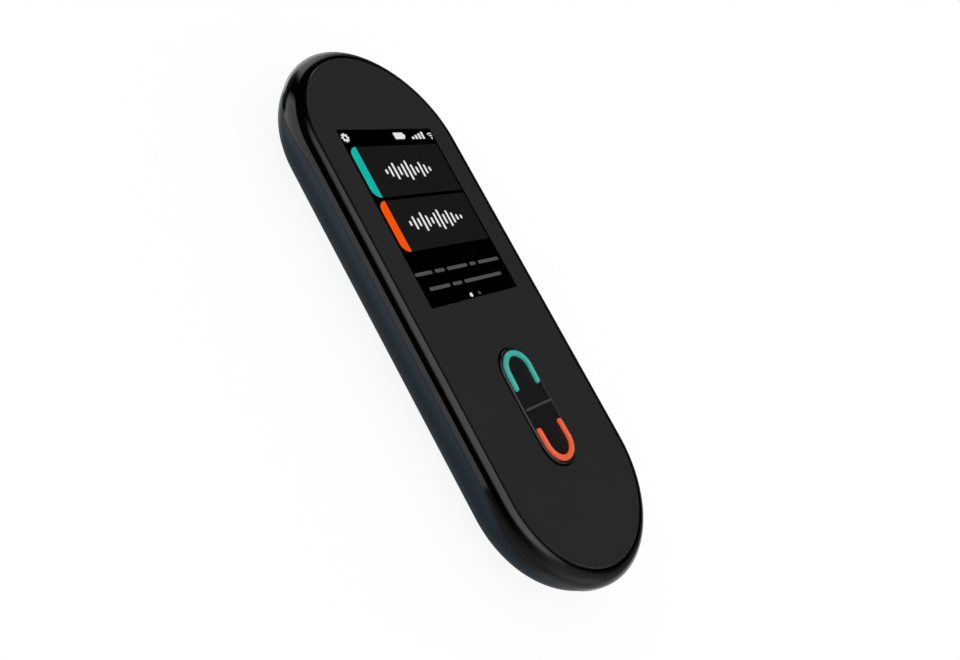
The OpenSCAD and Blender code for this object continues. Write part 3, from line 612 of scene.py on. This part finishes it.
def makeBackShell():
    # the flat bottom, then the outside up to the lip, then the inside back down; moveOnto puts
    # the outside in its place
    wall = body["wall"]
    count, insideCount = shellSizes["outsidePoints"], shellSizes["insidePoints"]
    start = frontArc + uprightSide + backArc
    flat = halfWidth - body["backRadius"]
    flatPoints = round(flat / shellSizes["flatStep"])
    step = halfWidth - shellHalf
    insideRadius = body["backRadius"] - wall
    profile = [((flat - step) * i / flatPoints, 0) for i in range(flatPoints)]
    profile += [sectionPoint(start * (1 - 0.5 * i / (count - 1))) for i in range(count)]
    profile.append((halfWidth - wall, partHigh - body["partGap"]))
    for i in range(insideCount + 1):
        turn = math.pi / 2 * i / insideCount
        profile.append((flat + insideRadius * math.cos(turn),
                        body["backRadius"] - insideRadius * math.sin(turn)))
    profile.append((0, wall))
    bm, order = sweepSlot(profile, straight, body["roundSteps"], body["runs"])
    shares = {flatPoints + i: i / (count - 1) for i in range(count)}
    shares[flatPoints + count] = "level"
    moveOnto(bm, order, shares, start, body["partGap"], step)
    roundEdges(bm, edgesOf(bm.verts, {flatPoints + count - 1}, order), body["partEdge"])
    shell = finishPiece("backShell", bm, "housing", [made["satinPaint"]], ["back_shell"])

    cutters = bmesh.new()
    addGrilleCutters(cutters)
    addMicCutters(cutters)
    addPortCutter(cutters)
    addSideKeyCutters(cutters)
    bmesh.ops.recalc_face_normals(cutters, faces=cutters.faces)
    cutAway(shell, cutters)


makeBackShell()
print("back shell made")


# The cover glass, with its key opening and its clear window

keyLow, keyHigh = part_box("rocker_key")
keyMiddle = (keyLow.y + keyHigh.y) / 2
glass = {
    "edge": 0.12 * mm,
    "lift": 0.05 * mm,              # air under the glass, where the picture lies
    "openingRadius": 5.52 * mm,
    "openingReach": 8.2 * mm,       # from the opening's middle to its round ends' centres
    "openingEdge": 0.08 * mm,       # a chamfer of 45 degrees
    "openingEase": 0.08 * mm,       # and over it a gentler one that catches the light
    "openingSlope": 24,             # in degrees, how steep that one is
    "cutDepth": 2.0 * mm,
}
picture = {
    "width": 30.7 * mm,
    "length": 42.4 * mm,
    "middle": 21.3 * mm,
}


def cutKeyOpening(piece):
    radius, depth = glass["openingRadius"], glass["cutDepth"]
    flare, ease = glass["openingEdge"], glass["openingEase"]
    fall = ease * math.tan(math.radians(glass["openingSlope"]))
    profile = [(0, -depth), (radius, -depth), (radius, -flare - fall), (radius + flare, -fall),
               (radius + flare + 2 * ease, fall), (0, fall)]
    cutter = sweepSlot(profile, glass["openingReach"], 64)[0]
    bmesh.ops.translate(cutter, verts=cutter.verts, vec=(0, keyMiddle, glassTop))
    cutAway(piece, cutter, sharp=12)


def makeCoverGlass():
    under = glassUnder + glass["lift"]
    edge = glass["edge"]
    profile = [(0, under), (glassHalf, under), (glassHalf, glassTop - edge), (glassHalf - edge, glassTop),
               (0, glassTop)]
    bm = sweepSlot(profile, straight, body["roundSteps"])[0]
    left, right = -picture["width"] / 2, picture["width"] / 2
    low, high = picture["middle"] - picture["length"] / 2, picture["middle"] + picture["length"] / 2
    cuts = [((left, 0, 0), (1, 0, 0)), ((right, 0, 0), (1, 0, 0)), ((0, low, 0), (0, 1, 0)),
            ((0, high, 0), (0, 1, 0))]
    for point, normal in cuts:
        bmesh.ops.bisect_plane(bm, geom=list(bm.verts) + list(bm.edges) + list(bm.faces), plane_co=point,
                               plane_no=normal, dist=cutDistance)
    for face in bm.faces:
        middle = face.calc_center_median()
        if left < middle.x < right and low < middle.y < high:
            face.material_index = 1
    piece = finishPiece("coverGlass", bm, "housing",
                        [made["printedGlass"], made["windowGlass"]], ["cover_glass"])
    cutKeyOpening(piece)


makeCoverGlass()
print("cover glass made")


# The lit picture, just above the display panel. It holds no words: bars stand for speech.
# The floor and the thickness are metres, all other sizes millimetres on the picture

screen = {
    "floor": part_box("display_panel")[1].z + 0.005 * mm,
    "thick": 0.012 * mm,
    "shift": (0.48, 0.09),          # what the glass bends out of place, put back
}
cards = {
    "corner": 2.25,
    "barRight": -12.3,
    "each": [
        {"low": (-14.6, 26.0), "high": (14.8, 38.4), "bar": "tealPixels"},
        {"low": (-14.6, 13.0), "high": (14.8, 25.2), "bar": "orangePixels"},
    ],
}
voices = {
    "pitch": 1.45,
    "width": 0.62,
    "round": 0.95,                  # share of a bar's half width that its corners take
    "each": [
        {"middle": (0.4, 32.0), "heights": (1.2, 2.6, 4.2, 2.2, 3.4, 5.0, 2.8, 1.6, 3.8, 2.4, 1.2)},
        {"middle": (0.6, 19.3),
         "heights": (1.2, 3.2, 2.0, 4.6, 2.8, 1.6, 3.6, 5.0, 2.4, 4.0, 2.6, 1.4, 1.0)},
    ],
}
hints = {
    "height": 0.8,
    "gap": 0.95,
    "round": 0.9,
    "lines": [
        {"middle": 7.8, "left": -15.0, "dashes": (6.4, 4.1, 7.9, 3.1, 8.6)},
        {"middle": 4.2, "left": -13.0, "dashes": (7.7, 4.1, 14.5)},
    ],
}
pageDots = {"y": 0.95, "bright": -1.4, "brightRadius": 0.5, "dim": 1.5, "dimRadius": 0.425}
statusIcons = {
    "cog": {"middle": (-13.8, 40.7), "inner": 0.42, "outer": 0.84, "teeth": 8, "toothHalf": 12,
            "toothFrom": 0.8232, "toothTo": 1.14},
    "battery": {"low": (1.7, 40.0), "high": (5.0, 41.7), "corner": 0.3},
    "batteryCap": {"low": (5.05, 40.5), "high": (5.4, 41.2)},
    "signal": {"left": 7.4, "foot": 39.9, "steps": 4, "pitch": 1.25, "width": 0.8, "low": 0.6, "rise": 0.42},
    "fan": {"middle": (14.4, 40.0), "dot": 0.26, "radii": (0.75, 1.35), "width": 0.3, "from": 45, "to": 135},
}


def onScreen(spot, layer=0):
    # a spot on the picture as a place in the frame; each layer lies on the one below
    right, ahead = screen["shift"]
    return Vector(((spot[0] + right) * mm, (spot[1] + ahead) * mm, screen["floor"] + layer * screen["thick"]))


def screenSlab(bm, low, high, radius=0, layer=0, sides=(-1, 1)):
    addSlab(bm, onScreen(low, layer), onScreen(high, layer + 1), radius * mm, sides)


def screenRing(bm, middle, inner, outer, start, end, steps):
    # a flat band round a middle, between two angles in degrees
    turn = Matrix.Rotation(math.radians(start), 4, "Z")
    centre = onScreen(middle)
    before = set(bm.faces)
    verts = [bm.verts.new(centre + turn @ Vector((radius * mm, 0, 0))) for radius in (inner, outer)]
    edge = bm.edges.new(verts)
    bmesh.ops.spin(bm, geom=verts + [edge], cent=centre, axis=up, angle=math.radians(end - start),
                   steps=steps, use_merge=end - start >= 360)
    closeSeams(bm, before)
    thicken(bm, [face for face in bm.faces if face not in before], screen["thick"])


def screenDisc(bm, middle, radius):
    circle = bmesh.ops.create_circle(bm, cap_ends=True, segments=24, radius=radius * mm)["verts"]
    bmesh.ops.translate(bm, verts=circle, vec=onScreen(middle))
    thicken(bm, list({face for vert in circle for face in vert.link_faces}), screen["thick"])


def finishScreen(name, bm, pixels):
    bmesh.ops.recalc_face_normals(bm, faces=bm.faces)
    finishPiece(name, bm, "housing", [made[pixels]])


def makeCards():
    cardsMesh = bmesh.new()
    for number, card in enumerate(cards["each"]):
        screenSlab(cardsMesh, card["low"], card["high"], cards["corner"], 0, (-1,))
        bar = bmesh.new()
        screenSlab(bar, card["low"], (cards["barRight"], card["high"][1]), cards["corner"], 1, (-1,))
        finishScreen("cardBar" + str(number + 1), bar, card["bar"])
    finishScreen("screenCards", cardsMesh, "greyPixels")


def makeVoiceBars():
    bars = bmesh.new()
    half = voices["width"] / 2
    for voice in voices["each"]:
        middleX, middleY = voice["middle"]
        first = middleX - (len(voice["heights"]) - 1) / 2 * voices["pitch"]
        for number, height in enumerate(voice["heights"]):
            x = first + number * voices["pitch"]
            screenSlab(bars, (x - half, middleY - height / 2), (x + half, middleY + height / 2),
                       half * voices["round"], 1)
    finishScreen("voiceBars", bars, "whitePixels")


def makeHintLines():
    lines = bmesh.new()
    half = hints["height"] / 2
    for line in hints["lines"]:
        x = line["left"]
        for dash in line["dashes"]:
            screenSlab(lines, (x, line["middle"] - half), (x + dash - hints["gap"], line["middle"] + half),
                       half * hints["round"])
            x += dash
    screenDisc(lines, (pageDots["dim"], pageDots["y"]), pageDots["dimRadius"])
    finishScreen("hintLines", lines, "dimPixels")


def makeStatusIcons():
    icons = bmesh.new()
    screenDisc(icons, (pageDots["bright"], pageDots["y"]), pageDots["brightRadius"])
    cog = statusIcons["cog"]
    screenRing(icons, cog["middle"], cog["inner"], cog["outer"], 0, 360, 32)
    for tooth in range(cog["teeth"]):
        turn = 360 / cog["teeth"] * tooth
        screenRing(icons, cog["middle"], cog["toothFrom"], cog["toothTo"], turn - cog["toothHalf"],
                   turn + cog["toothHalf"], 2)
    battery, cap = statusIcons["battery"], statusIcons["batteryCap"]
    screenSlab(icons, battery["low"], battery["high"], battery["corner"])
    screenSlab(icons, cap["low"], cap["high"])
    signal = statusIcons["signal"]
    for step in range(signal["steps"]):
        left = signal["left"] + step * signal["pitch"]
        top = signal["foot"] + signal["low"] + step * signal["rise"]
        screenSlab(icons, (left, signal["foot"]), (left + signal["width"], top))
    fan = statusIcons["fan"]
    screenDisc(icons, fan["middle"], fan["dot"])
    for radius in fan["radii"]:
        screenRing(icons, fan["middle"], radius - fan["width"] / 2, radius + fan["width"] / 2, fan["from"],
                   fan["to"], 10)
    finishScreen("statusIcons", icons, "whitePixels")


makeCards()
makeVoiceBars()
makeHintLines()
makeStatusIcons()
print("picture made")


# The rocker key, its rib and its two light bows

rocker = {
    "radius": 5.2 * mm,
    "reach": 8.2 * mm,              # from the key's middle to its round ends' centres
    "middleTop": 13.0 * mm,
    "endTop": keyHigh.z,
    "edge": 0.26 * mm,
    "flangeOut": 1.0 * mm,
    "flangeTop": 11.4 * mm,
    "flangeUnder": 10.6 * mm,
    "rings": 8,
    "runs": 16,
    "ribRound": 0.96,               # share of the rib's half width that its top's rounding takes
}
dish = rocker["endTop"] - rocker["middleTop"]
dishRadius = ((rocker["radius"] + rocker["reach"]) ** 2 + dish ** 2) / (2 * dish)
bow = {
    "band": 0.68 * mm,              # half its thickness
    "radius": 3.95 * mm,            # of its middle line's bend
    "reach": 12.8 * mm,             # from the key's middle to the far edge of the bow
    "legEnd": 4.2 * mm,             # and to the ends of its legs
    "rise": 0.015 * mm,             # how far its middle line stands over the key
    "capRings": 6,
}


def dishHeight(y):
    return rocker["middleTop"] + dishRadius - math.sqrt(dishRadius ** 2 - y ** 2)


def makeRockerKey():
    radius, rings = rocker["radius"], rocker["rings"]
    profile = [(0, rocker["flangeUnder"]), (radius + rocker["flangeOut"], rocker["flangeUnder"]),
               (radius + rocker["flangeOut"], rocker["flangeTop"]), (radius, rocker["flangeTop"])]
    rim = len(profile)
    profile += [(radius * (1 - ring / rings), rocker["endTop"]) for ring in range(rings + 1)]
    bm, order = sweepSlot(profile, rocker["reach"], 64, [1] * rocker["runs"])
    for vert in bm.verts:
        if vert[order] >= rim:
            vert.co.z = dishHeight(vert.co.y)
    bmesh.ops.translate(bm, verts=bm.verts, vec=(0, keyMiddle, 0))
    rounded = roundEdges(bm, edgesOf(bm.verts, {rim}, order), rocker["edge"], 4)
    for face in rounded["faces"]:
        face.material_index = 1
    finishPiece("rockerKey", bm, "rocker", [made["keyAbs"], made["keyEdge"]], ["rocker_key"])


def makeDividerRib():
    low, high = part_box("divider_rib")
    bm = bmesh.new()
    verts = addSlab(bm, low, high)
    long = [edge for edge in edgesOf(verts)
            if abs(edge.verts[0].co.x - edge.verts[1].co.x) > (high.x - low.x) / 2
            and edge.verts[0].co.z > (low.z + high.z) / 2]
    roundEdges(bm, long, (high.y - low.y) / 2 * rocker["ribRound"], 6)
    finishPiece("dividerRib", bm, "rocker", [made["ribAbs"]], ["divider_rib"])


def makeLightBow(name, node, side, material):
    # a round bead bent to a bow, with domed ends; side 0 is the display end of the key. It's drawn
    # flat round its own bend, then laid along the dish
    bandMiddle = (bow["reach"] + bow["legEnd"]) / 2
    slope = math.asin(bandMiddle / dishRadius)
    bowY = bow["reach"] - bow["radius"] - bow["band"] - bandMiddle
    leg = bowY + bandMiddle - bow["legEnd"] - bow["band"]
    bm = bmesh.new()
    ring = bmesh.ops.create_circle(bm, cap_ends=False, segments=24, radius=bow["band"])["verts"]
    bmesh.ops.rotate(bm, verts=ring, cent=(0, 0, 0), matrix=Matrix.Rotation(math.pi / 2, 3, "X"))
    bmesh.ops.translate(bm, verts=ring, vec=(bow["radius"], 0, 0))
    first = edgesOf(ring)
    turned = bmesh.ops.spin(bm, geom=ring + first, cent=(0, 0, 0), axis=up, angle=math.pi, steps=48)
    last = [item for item in turned["geom_last"] if isinstance(item, bmesh.types.BMEdge)]
    for sideX, edges in ((1, first), (-1, last)):
        centre = Vector((sideX * bow["radius"], -leg, 0))
        edges, moved = extrudeEdges(bm, edges)
        bmesh.ops.translate(bm, verts=moved, vec=(0, -leg, 0))
        for step in range(1, bow["capRings"] + 1):
            edges, moved = extrudeEdges(bm, edges)
            turn = math.pi / 2 * step / bow["capRings"]
            before = math.pi / 2 * (step - 1) / bow["capRings"]
            bmesh.ops.translate(bm, verts=moved,
                                vec=(0, -bow["band"] * (math.sin(turn) - math.sin(before)), 0))
            shrink = max(math.cos(turn), 0) / math.cos(before)
            bmesh.ops.scale(bm, verts=moved, vec=(shrink, 1, shrink), space=Matrix.Translation(-centre))
    bmesh.ops.remove_doubles(bm, verts=bm.verts, dist=mergeDistance)
    bmesh.ops.recalc_face_normals(bm, faces=bm.faces)
    place = (Matrix.Translation((0, keyMiddle, 0)) @ Matrix.Rotation(math.pi * side, 4, "Z")
             @ Matrix.Translation((0, bandMiddle, dishHeight(bandMiddle) + bow["rise"]))
             @ Matrix.Rotation(slope, 4, "X") @ Matrix.Translation((0, bowY, 0)))
    bmesh.ops.transform(bm, matrix=place, verts=bm.verts)
    finishPiece(name, bm, "rocker", [made[material]], [node])


makeRockerKey()
makeDividerRib()
makeLightBow("tealLightBow", "teal_light_guide", 0, "tealGuide")
makeLightBow("orangeLightBow", "orange_light_guide", 1, "orangeGuide")
print("rocker made")


# The side keys and the port's contacts

def makeSideKey(name, node, bodyName):
    low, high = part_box(node)
    radius = sideKeys["height"] / 2
    flangeRadius = radius + sideKeys["flangeOver"]
    flangeUnder = low.x + sideKeys["foot"][node]
    flangeTop = flangeUnder + sideKeys["flangeThick"]
    profile = [(0, flangeUnder), (flangeRadius, flangeUnder), (flangeRadius, flangeTop),
               (radius, flangeTop), (radius, high.x), (radius * sideKeys["faceRing"], high.x),
               (0, high.x)]
    rim = profile.index((radius, high.x))
    bm, order = sweepSlot(profile, sideKeyReach(node), 32, [1] * sideKeys["runs"])
    roundEdges(bm, edgesOf(bm.verts, {rim}, order), sideKeys["edge"], 4)
    bmesh.ops.transform(bm, matrix=sideKeyFrame(node), verts=bm.verts)
    finishPiece(name, bm, bodyName, [made["satinPaint"]], [node])


contacts = {
    "count": 12,
    "pitch": 0.5 * mm,
    "width": 0.26 * mm,
    "length": 3.6 * mm,
    "thick": 0.03 * mm,
    "corner": 0.06 * mm,
    "setBack": 0.35 * mm,           # from the tongue's tip
    "tongueHalf": 0.35 * mm,
}


def makePortContacts():
    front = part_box("usb_tongue")[0].y + contacts["setBack"]
    half, thick = contacts["width"] / 2, contacts["thick"]
    bm = bmesh.new()
    for face in (-1, 1):
        z = port["middle"] + face * contacts["tongueHalf"]
        for number in range(contacts["count"]):
            x = (number - (contacts["count"] - 1) / 2) * contacts["pitch"]
            addSlab(bm, (x - half, front, z - thick), (x + half, front + contacts["length"], z + thick),
                    contacts["corner"])
    finishPiece("portContacts", bm, "housing", [made["goldPlate"]])


makeSideKey("powerKey", "power_key", "power_button")
makeSideKey("volumeKey", "volume_key", "volume_rocker")
makePortContacts()
print("side keys and contacts made")


# The CAD pieces that stay get their finish by the slot that the record gives them

slotFinishes = {
    "gloss_black_plastic": "glossAbs",
    "blue_grey_paint": "satinPaint",
    "printed_glass": "printedGlass",
    "lcd_glass": "panelGlass",
    "backlight_white": "backlightSheet",
    "key_plastic": "keyAbs",
    "rib_plastic": "ribAbs",
    "teal_guide": "tealGuide",
    "orange_guide": "orangeGuide",
    "steel": "rolledSteel",
    "board": "boardMask",
    "flex": "polyimide",
    "chip": "chipEpoxy",
    "gold": "goldPlate",
    "led": "diodeResin",
    "alloy": "castAlloy",
    "rubber": "siliconeRubber",
    "socket": "socketNylon",
    "pouch": "pouchFoil",
    "tape": "foamTape",
    "wire": "wireSleeve",
    "cone": "conePaper",
    "mesh": "wovenMesh",
}
nodeSlots = {part["node"]: part["material_slot"] for part in frame["record"]["subparts"]}
for node, cadObject in frame["nodes"].items():
    for materialSlot in cadObject.material_slots:
        materialSlot.material = made[slotFinishes[nodeSlots[node]]]
print("CAD pieces finished:", len(frame["nodes"]))


# The floor, the light and the camera

paper = {
    "reach": 4.0,                 # metres to each side
    "drop": 0.02 * mm,            # so far under the back, or the two would flicker
    "shadowLift": 0.9,            # how far its shadows are lifted towards white
}


def mirroredRays(tree):
    # gives 1 for the rays that a gloss throws back or that a glass lets through
    rays = addNode(tree, "ShaderNodeLightPath")
    either = addNode(tree, "ShaderNodeMath", {},
                     {0: rays.outputs["Is Glossy Ray"], 1: rays.outputs["Is Transmission Ray"]},
                     operation="MAXIMUM")
    return either.outputs[0]


def makeFloor():
    # white paper with a faint shadow. It can be looked through from below, and the object
    # takes its light and its reflections from the studio instead
    bm = bmesh.new()
    bmesh.ops.create_grid(bm, x_segments=1, y_segments=1, size=paper["reach"])
    bmesh.ops.translate(bm, verts=bm.verts, vec=(0, 0, -paper["drop"]))
    mesh = bpy.data.meshes.new("floor")
    bm.to_mesh(mesh)
    bm.free()
    material = newMaterial("whitePaper")
    tree = material.node_tree
    seen = addNode(tree, "ShaderNodeMath", {},
                   {0: addNode(tree, "ShaderNodeLightPath").outputs["Is Camera Ray"], 1: mirroredRays(tree)},
                   operation="MAXIMUM")
    share = addNode(tree, "ShaderNodeMath", {1: paper["shadowLift"]}, {0: seen.outputs[0]},
                    operation="MULTIPLY")
    matt = addNode(tree, "ShaderNodeBsdfDiffuse", {"Color": hexToLinear("#fefefe")})
    lit = addNode(tree, "ShaderNodeEmission", {"Color": hexToLinear("#ffffff"), "Strength": 1.0})
    both = addNode(tree, "ShaderNodeMixShader", {},
                   {0: share.outputs[0], 1: matt.outputs["BSDF"], 2: lit.outputs["Emission"]})
    side = addNode(tree, "ShaderNodeNewGeometry").outputs["Backfacing"]
    clear = addNode(tree, "ShaderNodeBsdfTransparent")
    sheet = addNode(tree, "ShaderNodeMixShader", {},
                    {0: side, 1: both.outputs["Shader"], 2: clear.outputs["BSDF"]})
    addNode(tree, "ShaderNodeOutputMaterial", {}, {"Surface": sheet.outputs["Shader"]})
    mesh.materials.append(material)
    floor = bpy.data.objects.new("floor", mesh)
    bpy.context.scene.collection.objects.link(floor)
    floor.visible_diffuse = False
    floor.visible_glossy = False


studio = {
    # how bright the room is round the object, at compass angles counted from +X towards +Y: white
    # walls to the left and the right of the display end, a dark gap between them, grey elsewhere.
    # the levels in these three lists were worked out from the photo's reflections, so this isn't
    # plain studio light yet: a single level in each list would be
    "wall": ((0, 0.05), (42, 0.1), (50, 0.6), (60, 1.0), (73, 0.95), (81, 0.15), (85, 0.0), (100, 0.0),
             (109, 1.05), (158, 1.05), (183, 0.1), (212, 0.18), (230, 0.25), (248, 0.36), (264, 0.6),
             (284, 0.62), (297, 0.5), (309, 0.26), (331, 0.13)),
    # above it, between the wall and the light box
    "gap": ((0, 0.0), (200, 0.0), (233, 0.13), (251, 0.3), (270, 0.45), (300, 0.33), (315, 0.25),
            (327, 0.05)),
    # and below it, where the floor is
    "floor": ((0, 0.08), (40, 0.08), (47, 0.75), (56, 1.1), (66, 1.2), (73, 0.9), (78, 0.1), (98, 0.0),
              (106, 1.05), (158, 1.05), (186, 0.28), (250, 0.27), (266, 0.42), (299, 0.38), (313, 0.5),
              (331, 0.8), (344, 0.6), (355, 0.2)),
    "horizonSoft": 0.04,      # half of the band where they meet, as a height on a ball of radius 1
    "nadir": 0.18,            # right under the object, fading out between two such heights
    "nadirEnd": -0.85,
    "nadirStart": -0.6,
    "wallTop": 22.0,          # degrees above the horizon at which the wall starts to fade
    "wallEnd": 29.0,
    "boxLean": 6.0,           # the overhead light box leans this far over
    "boxTowards": -5.0,       # at this compass angle
    "boxInner": 15.0,         # half angle of its full part, and of its soft edge
    "boxOuter": 36.0,
    "boxLevel": 1.5,
}


def makeStudio():
    # rays from matt surfaces and from the camera meet a plain white; mirrored ones meet the wall,
    # what is above and below it, and the light box
    world = bpy.data.worlds.new("studio")
    bpy.context.scene.world = world
    world.use_nodes = True
    world.cycles.sampling_method = "NONE"
    tree = world.node_tree
    tree.nodes.clear()
    direction = addNode(tree, "ShaderNodeTexCoord").outputs["Generated"]
    parts = addNode(tree, "ShaderNodeSeparateXYZ", {}, {"Vector": direction})
    turn = addNode(tree, "ShaderNodeMath", {}, {0: parts.outputs["Y"], 1: parts.outputs["X"]},
                   operation="ARCTAN2")
    compass = addNode(tree, "ShaderNodeMapRange", {"From Min": -math.pi, "From Max": math.pi},
                      {"Value": turn.outputs[0]}).outputs["Result"]
    levels = {}
    for name in ("wall", "gap", "floor"):
        ramp = addNode(tree, "ShaderNodeValToRGB", {}, {"Fac": compass})
        stops = sorted(((angle + 180) % 360 / 360, level / 2) for angle, level in studio[name])
        elements = ramp.color_ramp.elements
        for place, level in stops:
            elements.new(place).color = (level, level, level, 1)
        elements.remove(elements[0])
        elements.remove(elements[-1])
        levels[name] = addNode(tree, "ShaderNodeMath", {1: 2.0}, {0: ramp.outputs["Color"]},
                               operation="MULTIPLY").outputs[0]
    heights = {"wall": [math.sin(math.radians(studio[key])) for key in ("wallTop", "wallEnd")],
               "horizon": (-studio["horizonSoft"], studio["horizonSoft"]),
               "nadir": (studio["nadirEnd"], studio["nadirStart"])}
    fades = {}
    for name, (low, high) in heights.items():
        fades[name] = addNode(tree, "ShaderNodeMapRange", {"From Min": low, "From Max": high},
                              {"Value": parts.outputs["Z"]},
                              interpolation_type="SMOOTHSTEP").outputs["Result"]
    standing = addNode(tree, "ShaderNodeMix", {}, {0: fades["wall"], 2: levels["wall"], 3: levels["gap"]})
    below = addNode(tree, "ShaderNodeMix", {2: studio["nadir"]}, {0: fades["nadir"], 3: levels["floor"]})
    around = addNode(tree, "ShaderNodeMix", {},
                     {0: fades["horizon"], 2: below.outputs[0], 3: standing.outputs[0]})
    lean, towards = math.radians(studio["boxLean"]), math.radians(studio["boxTowards"])
    axis = (math.sin(lean) * math.cos(towards), math.sin(lean) * math.sin(towards), math.cos(lean))
    near = addNode(tree, "ShaderNodeVectorMath", {1: axis}, {0: direction}, operation="DOT_PRODUCT")
    box = addNode(tree, "ShaderNodeMapRange",
                  {"From Min": math.cos(math.radians(studio["boxOuter"])),
                   "From Max": math.cos(math.radians(studio["boxInner"])), "To Min": 0.0,
                   "To Max": studio["boxLevel"]},
                  {"Value": near.outputs["Value"]}, interpolation_type="SMOOTHSTEP")
    surroundings = addNode(tree, "ShaderNodeMath", {}, {0: around.outputs[0], 1: box.outputs["Result"]},
                           operation="ADD")
    strength = addNode(tree, "ShaderNodeMix", {2: 1.0}, {0: mirroredRays(tree), 3: surroundings.outputs[0]})
    light = addNode(tree, "ShaderNodeBackground", {"Color": (1, 1, 1, 1)}, {"Strength": strength.outputs[0]})
    addNode(tree, "ShaderNodeOutputWorld", {}, {"Surface": light.outputs["Background"]})


view = {
    "eye": Vector((-157.1, -35.7, 126.3)) * mm,
    "aim": Vector((-4.76, -6.94, 12.8)) * mm,
    "roll": 55.03,
    "lens": 34.99,
    "sensor": 36,
    "clip": (0.01, 20),
}


def makeCamera():
    data = bpy.data.cameras.new("camera")
    data.lens = view["lens"]
    data.sensor_width = view["sensor"]
    data.clip_start, data.clip_end = view["clip"]
    camera = bpy.data.objects.new("camera", data)
    bpy.context.scene.collection.objects.link(camera)
    ahead = (view["aim"] - view["eye"]).to_track_quat("-Z", "Y").to_matrix().to_4x4()
    camera.matrix_world = (Matrix.Translation(view["eye"]) @ ahead
                           @ Matrix.Rotation(math.radians(view["roll"]), 4, "Z"))
    bpy.context.scene.camera = camera


makeFloor()
makeStudio()
makeCamera()
bpy.context.scene.view_settings.view_transform = "Standard"
print("floor, light and camera set")
